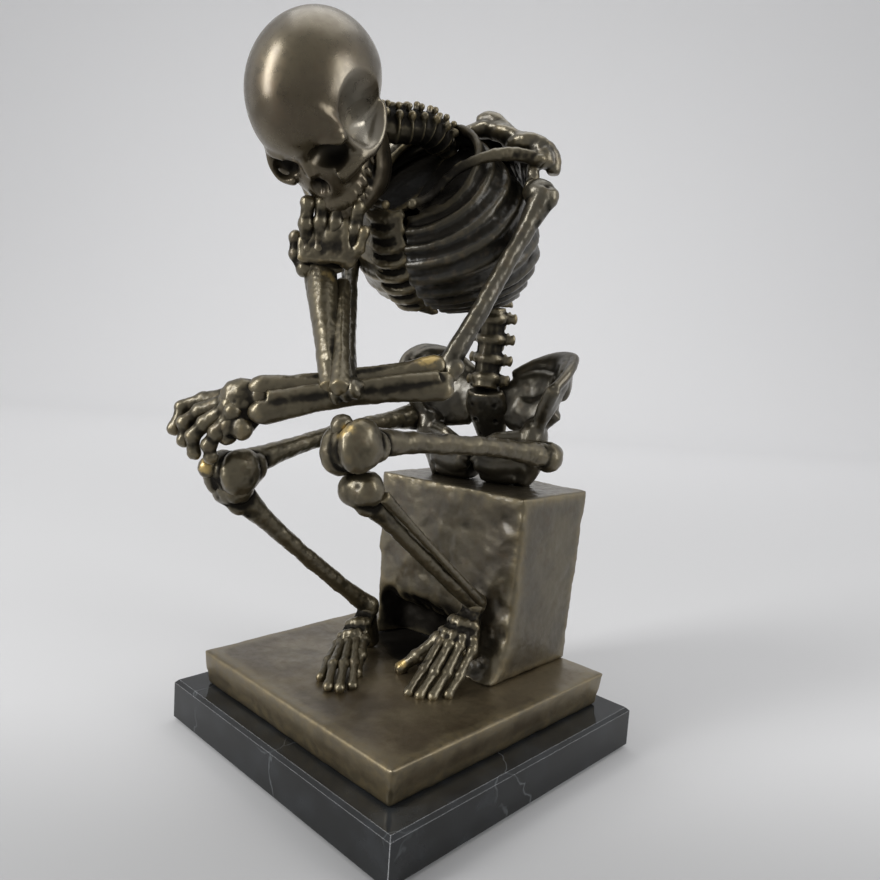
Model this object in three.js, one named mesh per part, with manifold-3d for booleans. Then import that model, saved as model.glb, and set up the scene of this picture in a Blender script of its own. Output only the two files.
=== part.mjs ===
// A bronze skeleton, seated in thought on a rock, on a square stone plinth.
// Millimetres, +Z up, origin under the middle of the felt sheet. The figure faces -Y, its left is +X.
import * as THREE from 'three';
import { mergeVertices } from 'three/addons/utils/BufferGeometryUtils.js';
import Module from 'manifold-3d';

const wasm = await Module();
wasm.setup();

// Driving sizes: felt, stone, base casting and seat
const feltThickness = 1;
const feltMargin = 5;
const plinthSide = 161;
const plinthThickness = 20;
const plinthBevel = 1.6;
const baseWidth = 139;
const baseDepth = 143;
const baseThickness = 16.5;
const baseWall = 5;
const baseLean = 2;
const moundRise = 3;
const seatWidth = 90;
const seatDepth = 52;
const seatHeight = 88.5;
const seatWall = 5;
const seatFlare = 12;
const seatTaper = 3;
const seatShift = 3.5;
const seatLean = 3.5;
const screwRadius = 2.5;
const screwHeadRadius = 5;
const screwHeadHeight = 3.5;
const screwSpacing = 84;
const screwGrip = 9;
const bossRadius = 8;

// Driving sizes: thickness of the bones
const femurRadius = 3.9;
const tibiaRadius = 3.5;
const fibulaRadius = 1.7;
const humerusRadius = 4.3;
const forearmRadius = 3.5;
const clavicleRadius = 1.7;
const kneeRadius = 10;
const hipBallRadius = 6.2;
const trochanterRadius = 7.8;
const shoulderRadius = 6.6;
const elbowRadius = 5.2;
const fingerRadius = 2.3;
const toeRadius = 2.2;
const hipWall = 1.7;
const hipHollow = 3;
const ribWall = 2.4;
const ribRelief = 1.5;
const ribCount = 9;
const chestHalfWidth = 43;
const chestFrontReach = 39;
const chestBackReach = 31;
const skullHalfWidth = 26.5;
const skullHalfLength = 34;
const skullHalfHeight = 29;
const boneClearance = 0.3;
const weldSize = 0.06;

// Levels that everything stands on
const plinthTop = feltThickness + plinthThickness;
const baseTop = plinthTop + baseThickness;
const seatTop = baseTop + seatHeight;

const overSeat = (x, y, height) => new THREE.Vector3(x, y, seatTop + height);
const overBase = (x, y, height) => new THREE.Vector3(x, y, baseTop + height);
const direction = (x, y, z) => new THREE.Vector3(x, y, z).normalize();
const up = new THREE.Vector3(0, 0, 1);

// Solids

function solid(geometry) {
  const bare = geometry.clone();
  for (const name of Object.keys(bare.attributes)) {
    if (name !== 'position') bare.deleteAttribute(name);
  }
  const merged = mergeVertices(bare, 1e-5);
  const corners = Array.from(merged.index.array);
  const build = (triVerts) => new wasm.Manifold(new wasm.Mesh({
    numProp: 3,
    vertProperties: new Float32Array(merged.attributes.position.array),
    triVerts: new Uint32Array(triVerts),
  }));
  const shape = build(corners);
  // A mirrored or left-handed shape comes out inside out, and is turned by reversing its corners
  return shape.volume() > 0 ? shape : build(corners.reverse());
}

function indexed(points, triangles) {
  const geometry = new THREE.BufferGeometry();
  geometry.setAttribute('position', new THREE.Float32BufferAttribute(points.flatMap((p) => [p.x, p.y, p.z]), 3));
  geometry.setIndex(triangles);
  return geometry;
}

function join(...solids) {
  return solids.flat().reduce((sum, next) => sum.add(next));
}

// A closed tube through rings of [centre, half width, half depth]; aim points along the width
function tube(rings, aim, grow = 0, sides = 8) {
  const last = rings.length - 1;
  const points = [];
  const middles = [];
  const triangles = [];
  const tangents = rings.map((ring, i) => {
    const before = rings[Math.max(i - 1, 0)][0];
    const after = rings[Math.min(i + 1, last)][0];
    return after.clone().sub(before).normalize();
  });
  rings.forEach(([centre, width, depth], i) => {
    const tangent = tangents[i];
    const outward = i === 0 ? -grow : i === last ? grow : 0;
    const middle = centre.clone().addScaledVector(tangent, outward);
    const side = aim.clone().addScaledVector(tangent, -aim.dot(tangent)).normalize();
    const front = tangent.clone().cross(side);
    for (let j = 0; j < sides; j += 1) {
      const angle = (2 * Math.PI * j) / sides;
      points.push(middle.clone()
        .addScaledVector(side, (width + grow) * Math.cos(angle))
        .addScaledVector(front, (depth + grow) * Math.sin(angle)));
    }
    middles.push(middle);
  });
  for (let i = 0; i < last; i += 1) {
    for (let j = 0; j < sides; j += 1) {
      const a = i * sides + j;
      const b = i * sides + ((j + 1) % sides);
      triangles.push(a, b, b + sides, a, b + sides, a + sides);
    }
  }
  const firstEnd = points.length;
  const list = [...points, middles[0], middles[last]];
  for (let j = 0; j < sides; j += 1) {
    const next = (j + 1) % sides;
    triangles.push(firstEnd, next, j);
    triangles.push(firstEnd + 1, last * sides + j, last * sides + next);
  }
  return solid(indexed(list, triangles));
}

// An egg with its three half sizes along three directions
function egg(centre, sizes, frame, grow = 0, detail = 1) {
  const geometry = new THREE.IcosahedronGeometry(1, detail);
  const axes = frame.map((axis, i) => axis.clone().multiplyScalar(sizes[i] + grow));
  const place = new THREE.Matrix4().makeBasis(...axes).setPosition(centre);
  geometry.applyMatrix4(place);
  return solid(geometry);
}

const level = [new THREE.Vector3(1, 0, 0), new THREE.Vector3(0, 1, 0), up];
const ball = (centre, radius, grow, detail) => egg(centre, [radius, radius, radius], level, grow, detail);

// A frame whose first direction runs from one point to another
function frameAlong(from, to, aim) {
  const along = to.clone().sub(from).normalize();
  const side = aim.clone().addScaledVector(along, -aim.dot(along)).normalize();
  return [along, side, along.clone().cross(side)];
}

// A long bone: slim in the middle, wider towards both ends
function shaft(from, to, slim, startRadius, endRadius, bow, grow, sides = 8) {
  const middle = from.clone().add(to).multiplyScalar(0.5).addScaledVector(bow, 2);
  const curve = new THREE.QuadraticBezierCurve3(from, middle, to);
  const rings = [0, 0.08, 0.2, 0.5, 0.8, 0.92, 1].map((t) => {
    const start = (startRadius - slim) * Math.exp(-((t / 0.16) ** 2));
    const end = (endRadius - slim) * Math.exp(-(((1 - t) / 0.16) ** 2));
    const radius = slim + start + end;
    return [curve.getPoint(t), radius, radius * 0.9];
  });
  return tube(rings, up.clone().add(new THREE.Vector3(0.3, 0.2, 0)), grow, sides);
}

// A thick sheet between two grids of points, rows by columns, closed along its edges
function sheet(rows, columns, outer, inner) {
  const points = [];
  const triangles = [];
  for (const surface of [outer, inner]) {
    for (let i = 0; i < rows; i += 1) {
      for (let j = 0; j < columns; j += 1) points.push(surface(i / (rows - 1), j / (columns - 1)));
    }
  }
  const half = rows * columns;
  const quad = (a, b, c, d) => triangles.push(a, b, c, a, c, d);
  for (let i = 0; i < rows - 1; i += 1) {
    for (let j = 0; j < columns - 1; j += 1) {
      const a = i * columns + j;
      quad(a, a + 1, a + columns + 1, a + columns);
      quad(half + a, half + a + columns, half + a + columns + 1, half + a + 1);
    }
  }
  for (let j = 0; j < columns - 1; j += 1) {
    const top = (rows - 1) * columns + j;
    quad(j, half + j, half + j + 1, j + 1);
    quad(top, top + 1, half + top + 1, half + top);
  }
  for (let i = 0; i < rows - 1; i += 1) {
    const a = i * columns;
    const b = a + columns - 1;
    quad(a, a + columns, half + a + columns, half + a);
    quad(b, half + b, half + b + columns, b + columns);
  }
  return solid(indexed(points, triangles));
}

// Landmarks of the seated figure

const leftHip = overSeat(26, 52, 21);
const rightHip = overSeat(-25, 35, 24);
const leftTrochanter = overSeat(40, 49.5, 17.5);
const rightTrochanter = overSeat(-35, 30, 30);
const leftKnee = overSeat(38, -72.5, 28);
const rightKnee = overSeat(-22, -87, 10);
const leftPatella = overSeat(35.5, -75.5, 34.5);
const rightPatella = overSeat(-26, -95.5, 11);
const leftShin = overSeat(37, -66, 10.5);
const rightShin = overSeat(-22.5, -86.5, 2);
const leftAnkle = overBase(30, 14, 36.5);
const rightAnkle = overBase(-20, -9, 25);
const leftShoulder = overSeat(53.8, 12.5, 134.2);
const rightShoulder = overSeat(-37, -18, 116);
const leftElbow = overSeat(40.4, -26.4, 58.7);
const rightElbow = overSeat(22, -64, 47);
const leftWrist = overSeat(-4, -86, 42.5);
const rightWrist = overSeat(-17, -47, 100);
const chestCentre = overSeat(0.5, 11, 116);
const skullCentre = overSeat(-6, -65, 166);

// The chest leans forward and turns a little to its left
const chestTurn = THREE.MathUtils.degToRad(14);
const chestLean = THREE.MathUtils.degToRad(45);
const chestSide = direction(Math.cos(chestTurn), Math.sin(chestTurn), 0);
const chestUp = direction(
  Math.sin(chestTurn) * Math.sin(chestLean),
  -Math.cos(chestTurn) * Math.sin(chestLean),
  Math.cos(chestLean),
);
const chestFront = chestSide.clone().cross(chestUp);

const inChest = (side, front, rise) => chestCentre.clone()
  .addScaledVector(chestSide, side)
  .addScaledVector(chestFront, front)
  .addScaledVector(chestUp, rise);

// The pelvis turns with the chest but stands upright
const hipTurn = THREE.MathUtils.degToRad(18);
const hipSide = direction(Math.cos(hipTurn), Math.sin(hipTurn), 0);
const hipFront = direction(Math.sin(hipTurn), -Math.cos(hipTurn), 0);
const hipCentre = overSeat(0, 46, 34);
const inPelvis = (side, front, rise) => hipCentre.clone()
  .addScaledVector(hipSide, side)
  .addScaledVector(hipFront, front)
  .addScaledVector(up, rise);

// The skull looks down and to its left
const skullTurn = THREE.MathUtils.degToRad(21);
const skullPitch = THREE.MathUtils.degToRad(52);
const skullSide = direction(Math.cos(skullTurn), Math.sin(skullTurn), 0);
const skullFront = direction(
  Math.sin(skullTurn) * Math.cos(skullPitch),
  -Math.cos(skullTurn) * Math.cos(skullPitch),
  -Math.sin(skullPitch),
);
const skullUp = skullFront.clone().cross(skullSide);
const skullFrame = [skullSide, skullFront, skullUp];
const inSkull = (side, front, rise) => skullCentre.clone()
  .addScaledVector(skullSide, side)
  .addScaledVector(skullFront, front)
  .addScaledVector(skullUp, rise);

// Felt, stone and screws

function squareStack(levels) {
  const points = [];
  const triangles = [];
  for (const [width, depth, z, shiftY = 0] of levels) {
    const x = width / 2;
    const y = depth / 2;
    points.push(new THREE.Vector3(-x, shiftY - y, z), new THREE.Vector3(x, shiftY - y, z));
    points.push(new THREE.Vector3(x, shiftY + y, z), new THREE.Vector3(-x, shiftY + y, z));
  }
  const top = points.length - 4;
  triangles.push(0, 2, 1, 0, 3, 2, top, top + 1, top + 2, top, top + 2, top + 3);
  for (let i = 0; i < top; i += 4) {
    for (let j = 0; j < 4; j += 1) {
      const a = i + j;
      const b = i + ((j + 1) % 4);
      triangles.push(a, b, b + 4, a, b + 4, a + 4);
    }
  }
  return solid(indexed(points, triangles));
}

function post(x, y, bottom, top, radius, sides = 20) {
  const rings = [bottom, top].map((z) => [new THREE.Vector3(x, y, z), radius, radius]);
  return tube(rings, level[0], 0, sides);
}

const screwPlaces = [-1, 1].map((side) => [side * screwSpacing / 2, 0]);
const recessDepth = screwHeadHeight + 2;
const recessFloor = feltThickness + recessDepth;

function felt() {
  const side = plinthSide - 2 * feltMargin;
  return squareStack([[side, side, 0], [side, side, feltThickness]]);
}

function plinth() {
  const b = plinthBevel;
  const w = plinthSide;
  let block = squareStack([
    [w - b, w - b, feltThickness],
    [w, w, feltThickness + b / 2],
    [w, w, plinthTop - b],
    [w - 2 * b, w - 2 * b, plinthTop],
  ]);
  for (const [x, y] of screwPlaces) {
    block = block.subtract(post(x, y, feltThickness - 1, recessFloor, screwHeadRadius + 1.5));
    block = block.subtract(post(x, y, feltThickness, plinthTop + 1, screwRadius + 0.5));
  }
  return block;
}

function screw([x, y]) {
  const head = post(x, y, recessFloor - screwHeadHeight, recessFloor, screwHeadRadius);
  const shank = post(x, y, recessFloor - 0.5, plinthTop + screwGrip, screwRadius);
  const slot = squareStack([[screwHeadRadius * 3, 1.2, 0], [screwHeadRadius * 3, 1.2, 1.4]]);
  return head.add(shank).subtract(slot.translate(x, y, recessFloor - screwHeadHeight - 0.2));
}

// The base casting: an uneven plate with a mound under the feet, hollow underneath

function ground(x, y) {
  const mound = moundRise * Math.exp(-(((x - 10) / 34) ** 2) - (((y + 20) / 26) ** 2));
  const wave = 0.5 * Math.sin(x / 15 + 1) * Math.cos(y / 19);
  const edge = Math.min(baseWidth / 2 - Math.abs(x), baseDepth / 2 - Math.abs(y)) / 12;
  return baseTop + (mound + wave) * THREE.MathUtils.clamp(edge, 0, 1);
}

function baseCasting() {
  const cells = 12;
  const points = [];
  const triangles = [];
  const grid = (height, width, depth) => {
    for (let i = 0; i <= cells; i += 1) {
      for (let j = 0; j <= cells; j += 1) {
        const x = width * (j / cells - 0.5);
        const y = depth * (i / cells - 0.5);
        points.push(new THREE.Vector3(x, y, height(x, y)));
      }
    }
  };
  grid(ground, baseWidth, baseDepth);
  const corners = [[0, 0], [0, cells], [cells, cells], [cells, 0]];
  const row = cells + 1;
  for (let i = 0; i < cells; i += 1) {
    for (let j = 0; j < cells; j += 1) {
      const a = i * row + j;
      triangles.push(a, a + 1, a + row + 1, a, a + row + 1, a + row);
    }
  }
  const rim = [];
  corners.forEach(([i, j], k) => {
    const [ni, nj] = corners[(k + 1) % 4];
    for (let s = 0; s < cells; s += 1) {
      rim.push((i + ((ni - i) * s) / cells) * row + j + ((nj - j) * s) / cells);
    }
  });
  const below = points.length;
  for (const index of rim) {
    const p = points[index];
    const x = p.x * (1 - (2 * baseLean) / baseWidth);
    const y = p.y * (1 - (2 * baseLean) / baseDepth);
    points.push(new THREE.Vector3(x, y, plinthTop));
  }
  const centre = points.length;
  points.push(new THREE.Vector3(0, 0, plinthTop));
  rim.forEach((index, k) => {
    const next = (k + 1) % rim.length;
    triangles.push(below + k, below + next, rim[next], below + k, rim[next], index);
    triangles.push(centre, below + next, below + k);
  });
  let plate = solid(indexed(points, triangles));
  const roof = baseTop - baseWall;
  let hollow = squareStack([
    [baseWidth - 2 * baseWall - 6, baseDepth - 2 * baseWall - 6, plinthTop - 1],
    [baseWidth - 2 * baseWall - 10, baseDepth - 2 * baseWall - 10, roof],
  ]);
  for (const [x, y] of screwPlaces) {
    hollow = hollow.subtract(post(x, y, plinthTop - 2, roof + 1, bossRadius));
  }
  plate = plate.subtract(hollow);
  for (const [x, y] of screwPlaces) {
    plate = plate.subtract(post(x, y, plinthTop - 1, plinthTop + screwGrip + 1, screwRadius + boneClearance));
  }
  return plate;
}

// The seat: a rock block with smooth sides, a rough front that flares at the foot and an undercut

const seatBack = baseDepth / 2 - 0.5;
const seatFront = seatBack - seatDepth;

function seatOutline(rise, across, grow = 0) {
  const t = THREE.MathUtils.clamp(rise, 0, 1);
  const half = seatWidth / 2 - seatTaper * (1 - t) + grow;
  const x = THREE.MathUtils.lerp(-half, half, across);
  const turn = (x + half) * 0.1;
  const rough = 1.2 * Math.sin(x / 5 + t * 17) + 0.8 * Math.sin(x / 3.1 - t * 29);
  const foot = Math.exp(-t * 9);
  const flare = seatFlare * foot * THREE.MathUtils.smoothstep(x, -6, 30);
  const cave = 9 * Math.exp(-(((t - 0.14) / 0.12) ** 2)) * THREE.MathUtils.smoothstep(-x, -14, 8);
  return new THREE.Vector2(x + seatShift, seatFront - 5 + turn - rough - flare + cave - grow);
}

function seatBlock() {
  const rows = 11;
  const columns = 10;
  const points = [];
  const triangles = [];
  for (let i = 0; i <= rows; i += 1) {
    const rise = i / rows;
    for (let j = 0; j <= columns; j += 1) {
      const front = seatOutline(rise, j / columns);
      const top = i === rows ? 0.7 * Math.sin(front.x / 9) : 0;
      points.push(new THREE.Vector3(front.x, front.y, baseTop + seatHeight * rise - Math.abs(top)));
    }
    const half = seatWidth / 2 - seatTaper * (1 - rise);
    const back = seatBack + seatLean * rise;
    points.push(new THREE.Vector3(seatShift + half, back, baseTop + seatHeight * rise));
    points.push(new THREE.Vector3(seatShift - half, back, baseTop + seatHeight * rise));
  }
  const ring = columns + 3;
  for (let i = 0; i < rows; i += 1) {
    for (let j = 0; j < ring; j += 1) {
      const a = i * ring + j;
      const b = i * ring + ((j + 1) % ring);
      triangles.push(a, b, b + ring, a, b + ring, a + ring);
    }
  }
  const bottom = points.length;
  points.push(new THREE.Vector3(0, seatBack - seatDepth / 2, baseTop));
  points.push(new THREE.Vector3(0, seatBack - seatDepth / 2, seatTop));
  for (let j = 0; j < ring; j += 1) {
    const next = (j + 1) % ring;
    triangles.push(bottom, next, j);
    triangles.push(bottom + 1, rows * ring + j, rows * ring + next);
  }
  const block = solid(indexed(points, triangles));
  const inside = seatDepth - 2 * seatWall - 10;
  const hollow = squareStack([
    [seatWidth - 2 * seatWall - 4, inside, baseTop - 20, seatBack - seatWall - inside / 2],
    [seatWidth - 2 * seatWall - 4, inside, seatTop - seatWall - 2, seatBack - seatWall - inside / 2],
  ]);
  const cut = solid(new THREE.BoxGeometry(plinthSide, plinthSide, 2 * baseTop));
  return block.subtract(hollow).subtract(cut);
}

// Skull and lower jaw

// The face sits a little to the figure's left of the vault's middle
const faceShift = 4;
const eyes = [[13.5, 31, -11], [-12, 32, -13]];

function skullPoint(unit, grow) {
  const [side, front, rise] = [unit.x, unit.y, unit.z];
  const brow = 1 - 0.1 * Math.max(0, -rise) * (1 - Math.max(0, front));
  const temple = 1 - 0.09 * Math.exp(-(((front - 0.55) / 0.3) ** 2) - (((rise + 0.15) / 0.45) ** 2)) * side ** 2;
  return inSkull(
    side * (skullHalfWidth + grow) * brow * temple,
    front * (skullHalfLength + grow) * brow,
    rise * (skullHalfHeight + grow) * (rise < 0 ? 0.85 : 1),
  );
}

function cranium(grow) {
  const vault = new THREE.IcosahedronGeometry(1, 4);
  const place = vault.attributes.position;
  const unit = new THREE.Vector3();
  for (let i = 0; i < place.count; i += 1) {
    unit.fromBufferAttribute(place, i).normalize();
    const moved = skullPoint(unit, grow);
    place.setXYZ(i, moved.x, moved.y, moved.z);
  }
  let skull = solid(vault);
  const upperJaw = tube([
    [inSkull(0.5, 16, -12), 19, 13],
    [inSkull(faceShift * 0.6, 17.5, -22), 16.5, 12.5],
    [inSkull(faceShift, 17, -29), 14.5, 12.5],
    [inSkull(faceShift, 17, -36), 13.5, 12],
  ], skullSide, grow, 12);
  skull = skull.add(upperJaw);
  for (const side of [-1, 1]) {
    const cheek = tube([
      [inSkull(side * 12, 26, -18.5), 5, 5],
      [inSkull(side * 20, 21, -16.5), 3.5, 3.8],
      [inSkull(side * 23, 13, -18), 2.6, 3.4],
      [inSkull(side * 24.5, 5, -16), 2.2, 3.2],
      [inSkull(side * 23.5, -3, -9), 2, 2.6],
    ], skullSide, grow, 7);
    const bowl = egg(inSkull(side * 16, 12, -16), [7, 12, 8], skullFrame, grow, 1);
    skull = skull.add(cheek).add(bowl);
  }
  if (grow > 0) return skull;
  for (const eye of eyes) {
    const socket = egg(inSkull(...eye), [8.8, 12, 6.8], skullFrame, 0, 2);
    skull = skull.subtract(socket);
  }
  const nose = egg(inSkull(faceShift, 34, -22), [3.9, 7, 5.5], skullFrame, 0, 1);
  skull = skull.subtract(nose);
  for (const side of [-1, 1]) {
    const temple = egg(inSkull(side * 33, 15, -1), [14, 18, 20], skullFrame, 0, 2);
    skull = skull.subtract(temple);
  }
  return skull;
}

function mandible(grow) {
  const half = (side) => [
    [inSkull(side * 22, 1, -21), 2, 4],
    [inSkull(side * 21, 3, -29), 2.2, 5.2],
    [inSkull(side * 19.5 + faceShift * 0.2, 8, -36.5), 2.4, 5.2],
    [inSkull(side * 15.5 + faceShift * 0.5, 16, -39), 2.4, 4],
    [inSkull(side * 8.5 + faceShift * 0.8, 25, -40), 2.8, 4],
    [inSkull(faceShift, 29, -40.5), 3.2, 4.2],
  ];
  const left = tube(half(1), skullSide, grow, 7);
  const right = tube(half(-1), skullSide, grow, 7);
  return left.add(right);
}

// Spine

const waist = overSeat(2.2, 44.8, 89.5);
const lumbarPath = [inPelvis(0, 2, 14), overSeat(0, 46, 60), overSeat(1, 46, 74), waist];
const chestPath = [
  waist,
  inChest(0, -17, -32),
  inChest(0, -27, -16),
  inChest(0, -30, 4),
  inChest(0, -27.5, 24),
  inChest(0, -22.5, 38),
];
const neckPath = [
  inChest(0, -22, 40),
  overSeat(4, -14, 162.6),
  overSeat(-1, -28, 160.6),
  inSkull(0, -13, -21),
];

// A stretch of spine: a waisted column with a spinous process and two side processes a vertebra
function spine(path, count, radius, spineReach, sideReach, back, grow) {
  const curve = new THREE.CatmullRomCurve3(path);
  const rings = [];
  for (let i = 0; i < count; i += 1) {
    for (const [part, swell] of [[0, 1], [0.55, 1.08], [0.85, 0.78]]) {
      rings.push([curve.getPointAt((i + part) / count), radius * swell, radius * swell * 0.85]);
    }
  }
  rings.push([curve.getPointAt(1), radius, radius * 0.85]);
  const parts = [tube(rings, chestSide, grow, 7)];
  const pitch = curve.getLength() / count;
  for (let i = 0; i < count; i += 1) {
    const t = (i + 0.5) / count;
    const centre = curve.getPointAt(t);
    const along = curve.getTangentAt(t);
    const rear = back.clone().addScaledVector(along, -back.dot(along)).normalize();
    const tip = centre.clone().addScaledVector(rear, spineReach).addScaledVector(along, -0.35 * pitch);
    parts.push(tube([
      [centre, pitch * 0.3, 1.6],
      [centre.clone().lerp(tip, 0.6), pitch * 0.32, 1.5],
      [tip, pitch * 0.24, 1.1],
    ], along, grow, 4));
    if (sideReach > 0) {
      const reach = chestSide.clone().multiplyScalar(sideReach).addScaledVector(rear, sideReach * 0.25);
      const other = reach.clone().reflect(chestSide);
      parts.push(tube([
        [centre.clone().add(other), 1, 1],
        [centre, pitch * 0.28, 1.6],
        [centre.clone().add(reach), 1, 1],
      ], along, grow, 4));
    }
  }
  return join(parts);
}

const lumbarSpine = (grow) => spine(lumbarPath, 4, 7.6, 15, 11, direction(-0.3, 1, 0.1), grow);
const thoracicSpine = (grow) => spine(chestPath, 10, 4.6, 10, 0, chestFront.clone().negate(), grow);
const cervicalSpine = (grow) => spine(neckPath, 6, 6.2, 8.6, 9, direction(0, 0.25, 1), grow);

function sacrum(grow) {
  return tube([
    [inPelvis(0, 1, 13), 10, 5.5],
    [inPelvis(0, -3, 4), 12, 5],
    [inPelvis(0, -10, -8), 9, 4],
    [inPelvis(0, -13, -20), 5, 3],
    [inPelvis(0, -10, -28), 2, 1.8],
  ], hipSide, grow, 10);
}

// Hip bone: a flared blade above the socket, and a ring of bone below it
function hipBone(side, grow) {
  const place = ([out, front, rise]) => inPelvis(side * out, front, rise);
  const crest = new THREE.CatmullRomCurve3(
    [[12, -13, 21], [27, -14, 31], [42, -9, 33], [46, 5, 27], [42, 17, 17]].map(place),
  );
  const root = new THREE.CatmullRomCurve3([[12, -9, 1], [19, -4, -1], [26, 2, -5], [32, 8, -4]].map(place));
  const inward = hipSide.clone().multiplyScalar(-0.68 * side).addScaledVector(hipFront, 0.62)
    .addScaledVector(up, 0.35);
  const blade = (out) => (u, v) => root.getPoint(u).lerp(crest.getPoint(u), v)
    .addScaledVector(inward, out - hipHollow * Math.sin(Math.PI * v));
  const wall = hipWall + grow;
  const wing = sheet(7, 5, blade(-wall), blade(wall));
  const body = egg(inPelvis(side * 29, 3, -9), [7, 10, 10.5], [hipSide, hipFront, up], grow, 1);
  const sit = tube([
    [inPelvis(side * 28, 0, -14), 6, 7],
    [inPelvis(side * 22, -5, -24), 5, 6],
    [inPelvis(side * 17, -2, -32), 4.5, 5.5],
  ], hipFront, grow, 8);
  const ramus = tube([
    [inPelvis(side * 17, -2, -30.5), 3, 3],
    [inPelvis(side * 10, 9, -26), 2.5, 3.4],
    [inPelvis(side * 2.6, 15, -19), 2.2, 4.5],
  ], hipFront, grow, 8);
  const brim = tube([
    [inPelvis(side * 28, 6, -8), 4, 4],
    [inPelvis(side * 14, 15, -9), 2.6, 2.8],
    [inPelvis(side * 2.6, 16, -16), 2.4, 4.2],
  ], up, grow, 8);
  const joint = tube([
    [inPelvis(side * 36, -2, 8), 4, 8],
    [inPelvis(side * 27, -4, 1), 6, 10],
    [inPelvis(side * 13, -8, 4), 4.5, 11],
  ], hipFront, grow, 8);
  const floor = egg(inPelvis(side * 13.4, 1, -23), [13, 9, 8.5], [hipSide, hipFront, up], grow, 1);
  return join(wing, body, sit, ramus, brim, joint, floor);
}

// Rib cage halves: a curved shell with one ridge a rib, built on rounded sections from low to high
const chestSections = [
  { rise: -30, width: 0.62, front: 0.58, back: 0.5 },
  { rise: -18, width: 0.86, front: 0.79, back: 0.76 },
  { rise: -5, width: 1, front: 0.95, back: 0.94 },
  { rise: 12, width: 1, front: 1, back: 1 },
  { rise: 26, width: 0.82, front: 0.86, back: 0.95 },
  { rise: 36, width: 0.6, front: 0.62, back: 0.92 },
];

const sectionValue = (name) => {
  const curve = new THREE.SplineCurve(chestSections.map((section, i) => new THREE.Vector2(i, section[name])));
  return (height) => curve.getPoint(height).y;
};
const chestProfile = {
  rise: sectionValue('rise'),
  width: sectionValue('width'),
  front: sectionValue('front'),
  back: sectionValue('back'),
};

function chestPoint(side, around, height, out) {
  const angle = THREE.MathUtils.lerp(0.035, 0.972, around) * Math.PI;
  const ahead = Math.cos(angle);
  const reach = ahead > 0
    ? chestFrontReach * chestProfile.front(height)
    : chestBackReach * chestProfile.back(height);
  const slope = THREE.MathUtils.lerp(-9, 7, height) * ahead;
  return inChest(
    side * (chestHalfWidth * chestProfile.width(height) + out) * Math.sin(angle) ** 0.9,
    (reach + out) * Math.sign(ahead) * Math.abs(ahead) ** 0.95,
    chestProfile.rise(height) - slope,
  );
}

function ribHalf(side, grow) {
  const rows = 2 * ribCount + 1;
  const ridge = (height) => {
    const wave = 0.5 - 0.5 * Math.cos(2 * Math.PI * ribCount * height);
    return ribRelief * wave;
  };
  const outer = (v, u) => chestPoint(side, u, v, ridge(v) + grow);
  const inner = (v, u) => chestPoint(side, u, v, -ribWall - grow);
  return sheet(rows, 10, outer, inner);
}

function sternum(grow) {
  return tube([
    [inChest(-4, 25, 36), 8, 2.6],
    [inChest(-5, 31, 28), 6.2, 2.4],
    [inChest(-5, 37, 12), 5.6, 2.2],
    [inChest(-4, 37, -2), 5, 2],
    [inChest(-2, 33, -11), 3.8, 2],
    [inChest(0, 28, -18), 2, 1.4],
  ], chestSide, grow, 8);
}

// Shoulder girdle

function clavicle(points, grow) {
  const curve = new THREE.CatmullRomCurve3(points);
  const rings = [0, 0.15, 0.35, 0.55, 0.75, 0.9, 1].map((t) => {
    const radius = clavicleRadius * (1 + 0.5 * (2 * t - 1) ** 4);
    return [curve.getPoint(t), radius, radius];
  });
  return tube(rings, up, grow, 8);
}

const leftClaviclePoints = [
  inChest(7, 25, 38.5),
  overSeat(18, -20.6, 130.8),
  overSeat(24, -14.2, 140.6),
  overSeat(29, -9.5, 145.5),
  overSeat(35, -3.1, 149.1),
  overSeat(41, 6.1, 151.2),
  overSeat(47, 14.6, 149.8),
];
const rightClaviclePoints = [
  inChest(-7, 25, 38.5),
  overSeat(-12, -36, 130),
  overSeat(-24, -30, 130),
  overSeat(-33, -20, 131),
];

// A shoulder blade: a thin curved plate with a raised corner, and the ridge that ends over the joint
function scapula(side, socket, ridge, grow) {
  const topEdge = new THREE.CatmullRomCurve3([
    inChest(side * 12, -32, 40),
    inChest(side * 18, -37.5, 41),
    inChest(side * 25, -34, 39),
    inChest(...ridge[1]),
    inChest(...ridge[2]),
  ]);
  const footEdge = new THREE.LineCurve3(inChest(side * 21, -38, -7), socket);
  const plate = (out) => (u, v) => {
    const point = topEdge.getPoint(v).lerp(footEdge.getPoint(v), u);
    return point.addScaledVector(chestFront, out - 2.5 * Math.sin(Math.PI * u));
  };
  const wall = 1.1 + grow;
  const blade = sheet(5, 8, plate(-wall), plate(wall));
  const sizes = [[1.4, 1.8], [2.4, 2.8], [3, 2.6], [3.4, 2.4], [2.6, 2]];
  const shelf = tube(ridge.map((place, i) => [inChest(...place), ...sizes[i]]), chestUp, grow, 8);
  const cup = egg(socket, [4, 4.5, 5.5], [chestSide, chestFront, chestUp], grow, 1);
  const neck = tube([[socket, 3.4, 3.4], [inChest(...ridge[2]), 2.2, 2.2]], chestSide, grow, 7);
  const corner = tube([
    [inChest(side * 13, -35.5, 40.5), 2.2, 2.4],
    [inChest(side * 18, -37.5, 40.5), 3.2, 3.4],
    [inChest(side * 24, -34.5, 38.5), 3, 3.2],
    [inChest(side * 31, -30, 34.5), 2.4, 2.6],
  ], chestUp, grow, 8);
  return join(blade, shelf, cup, neck, corner);
}

const leftRidge = [[23, -35, 26], [33, -27, 34], [42, -27, 32.5], [49.5, -25.5, 26], [50.5, -20, 21]];
const rightRidge = [[-23, -33, 24], [-31, -22, 30], [-38, -11, 28], [-44, -1, 23], [-45, 7, 20]];
const leftSocket = leftShoulder.clone().addScaledVector(chestSide, -7).addScaledVector(chestFront, -3);
const rightSocket = rightShoulder.clone().addScaledVector(chestSide, 7).addScaledVector(chestFront, -4);

// Arms

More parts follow.
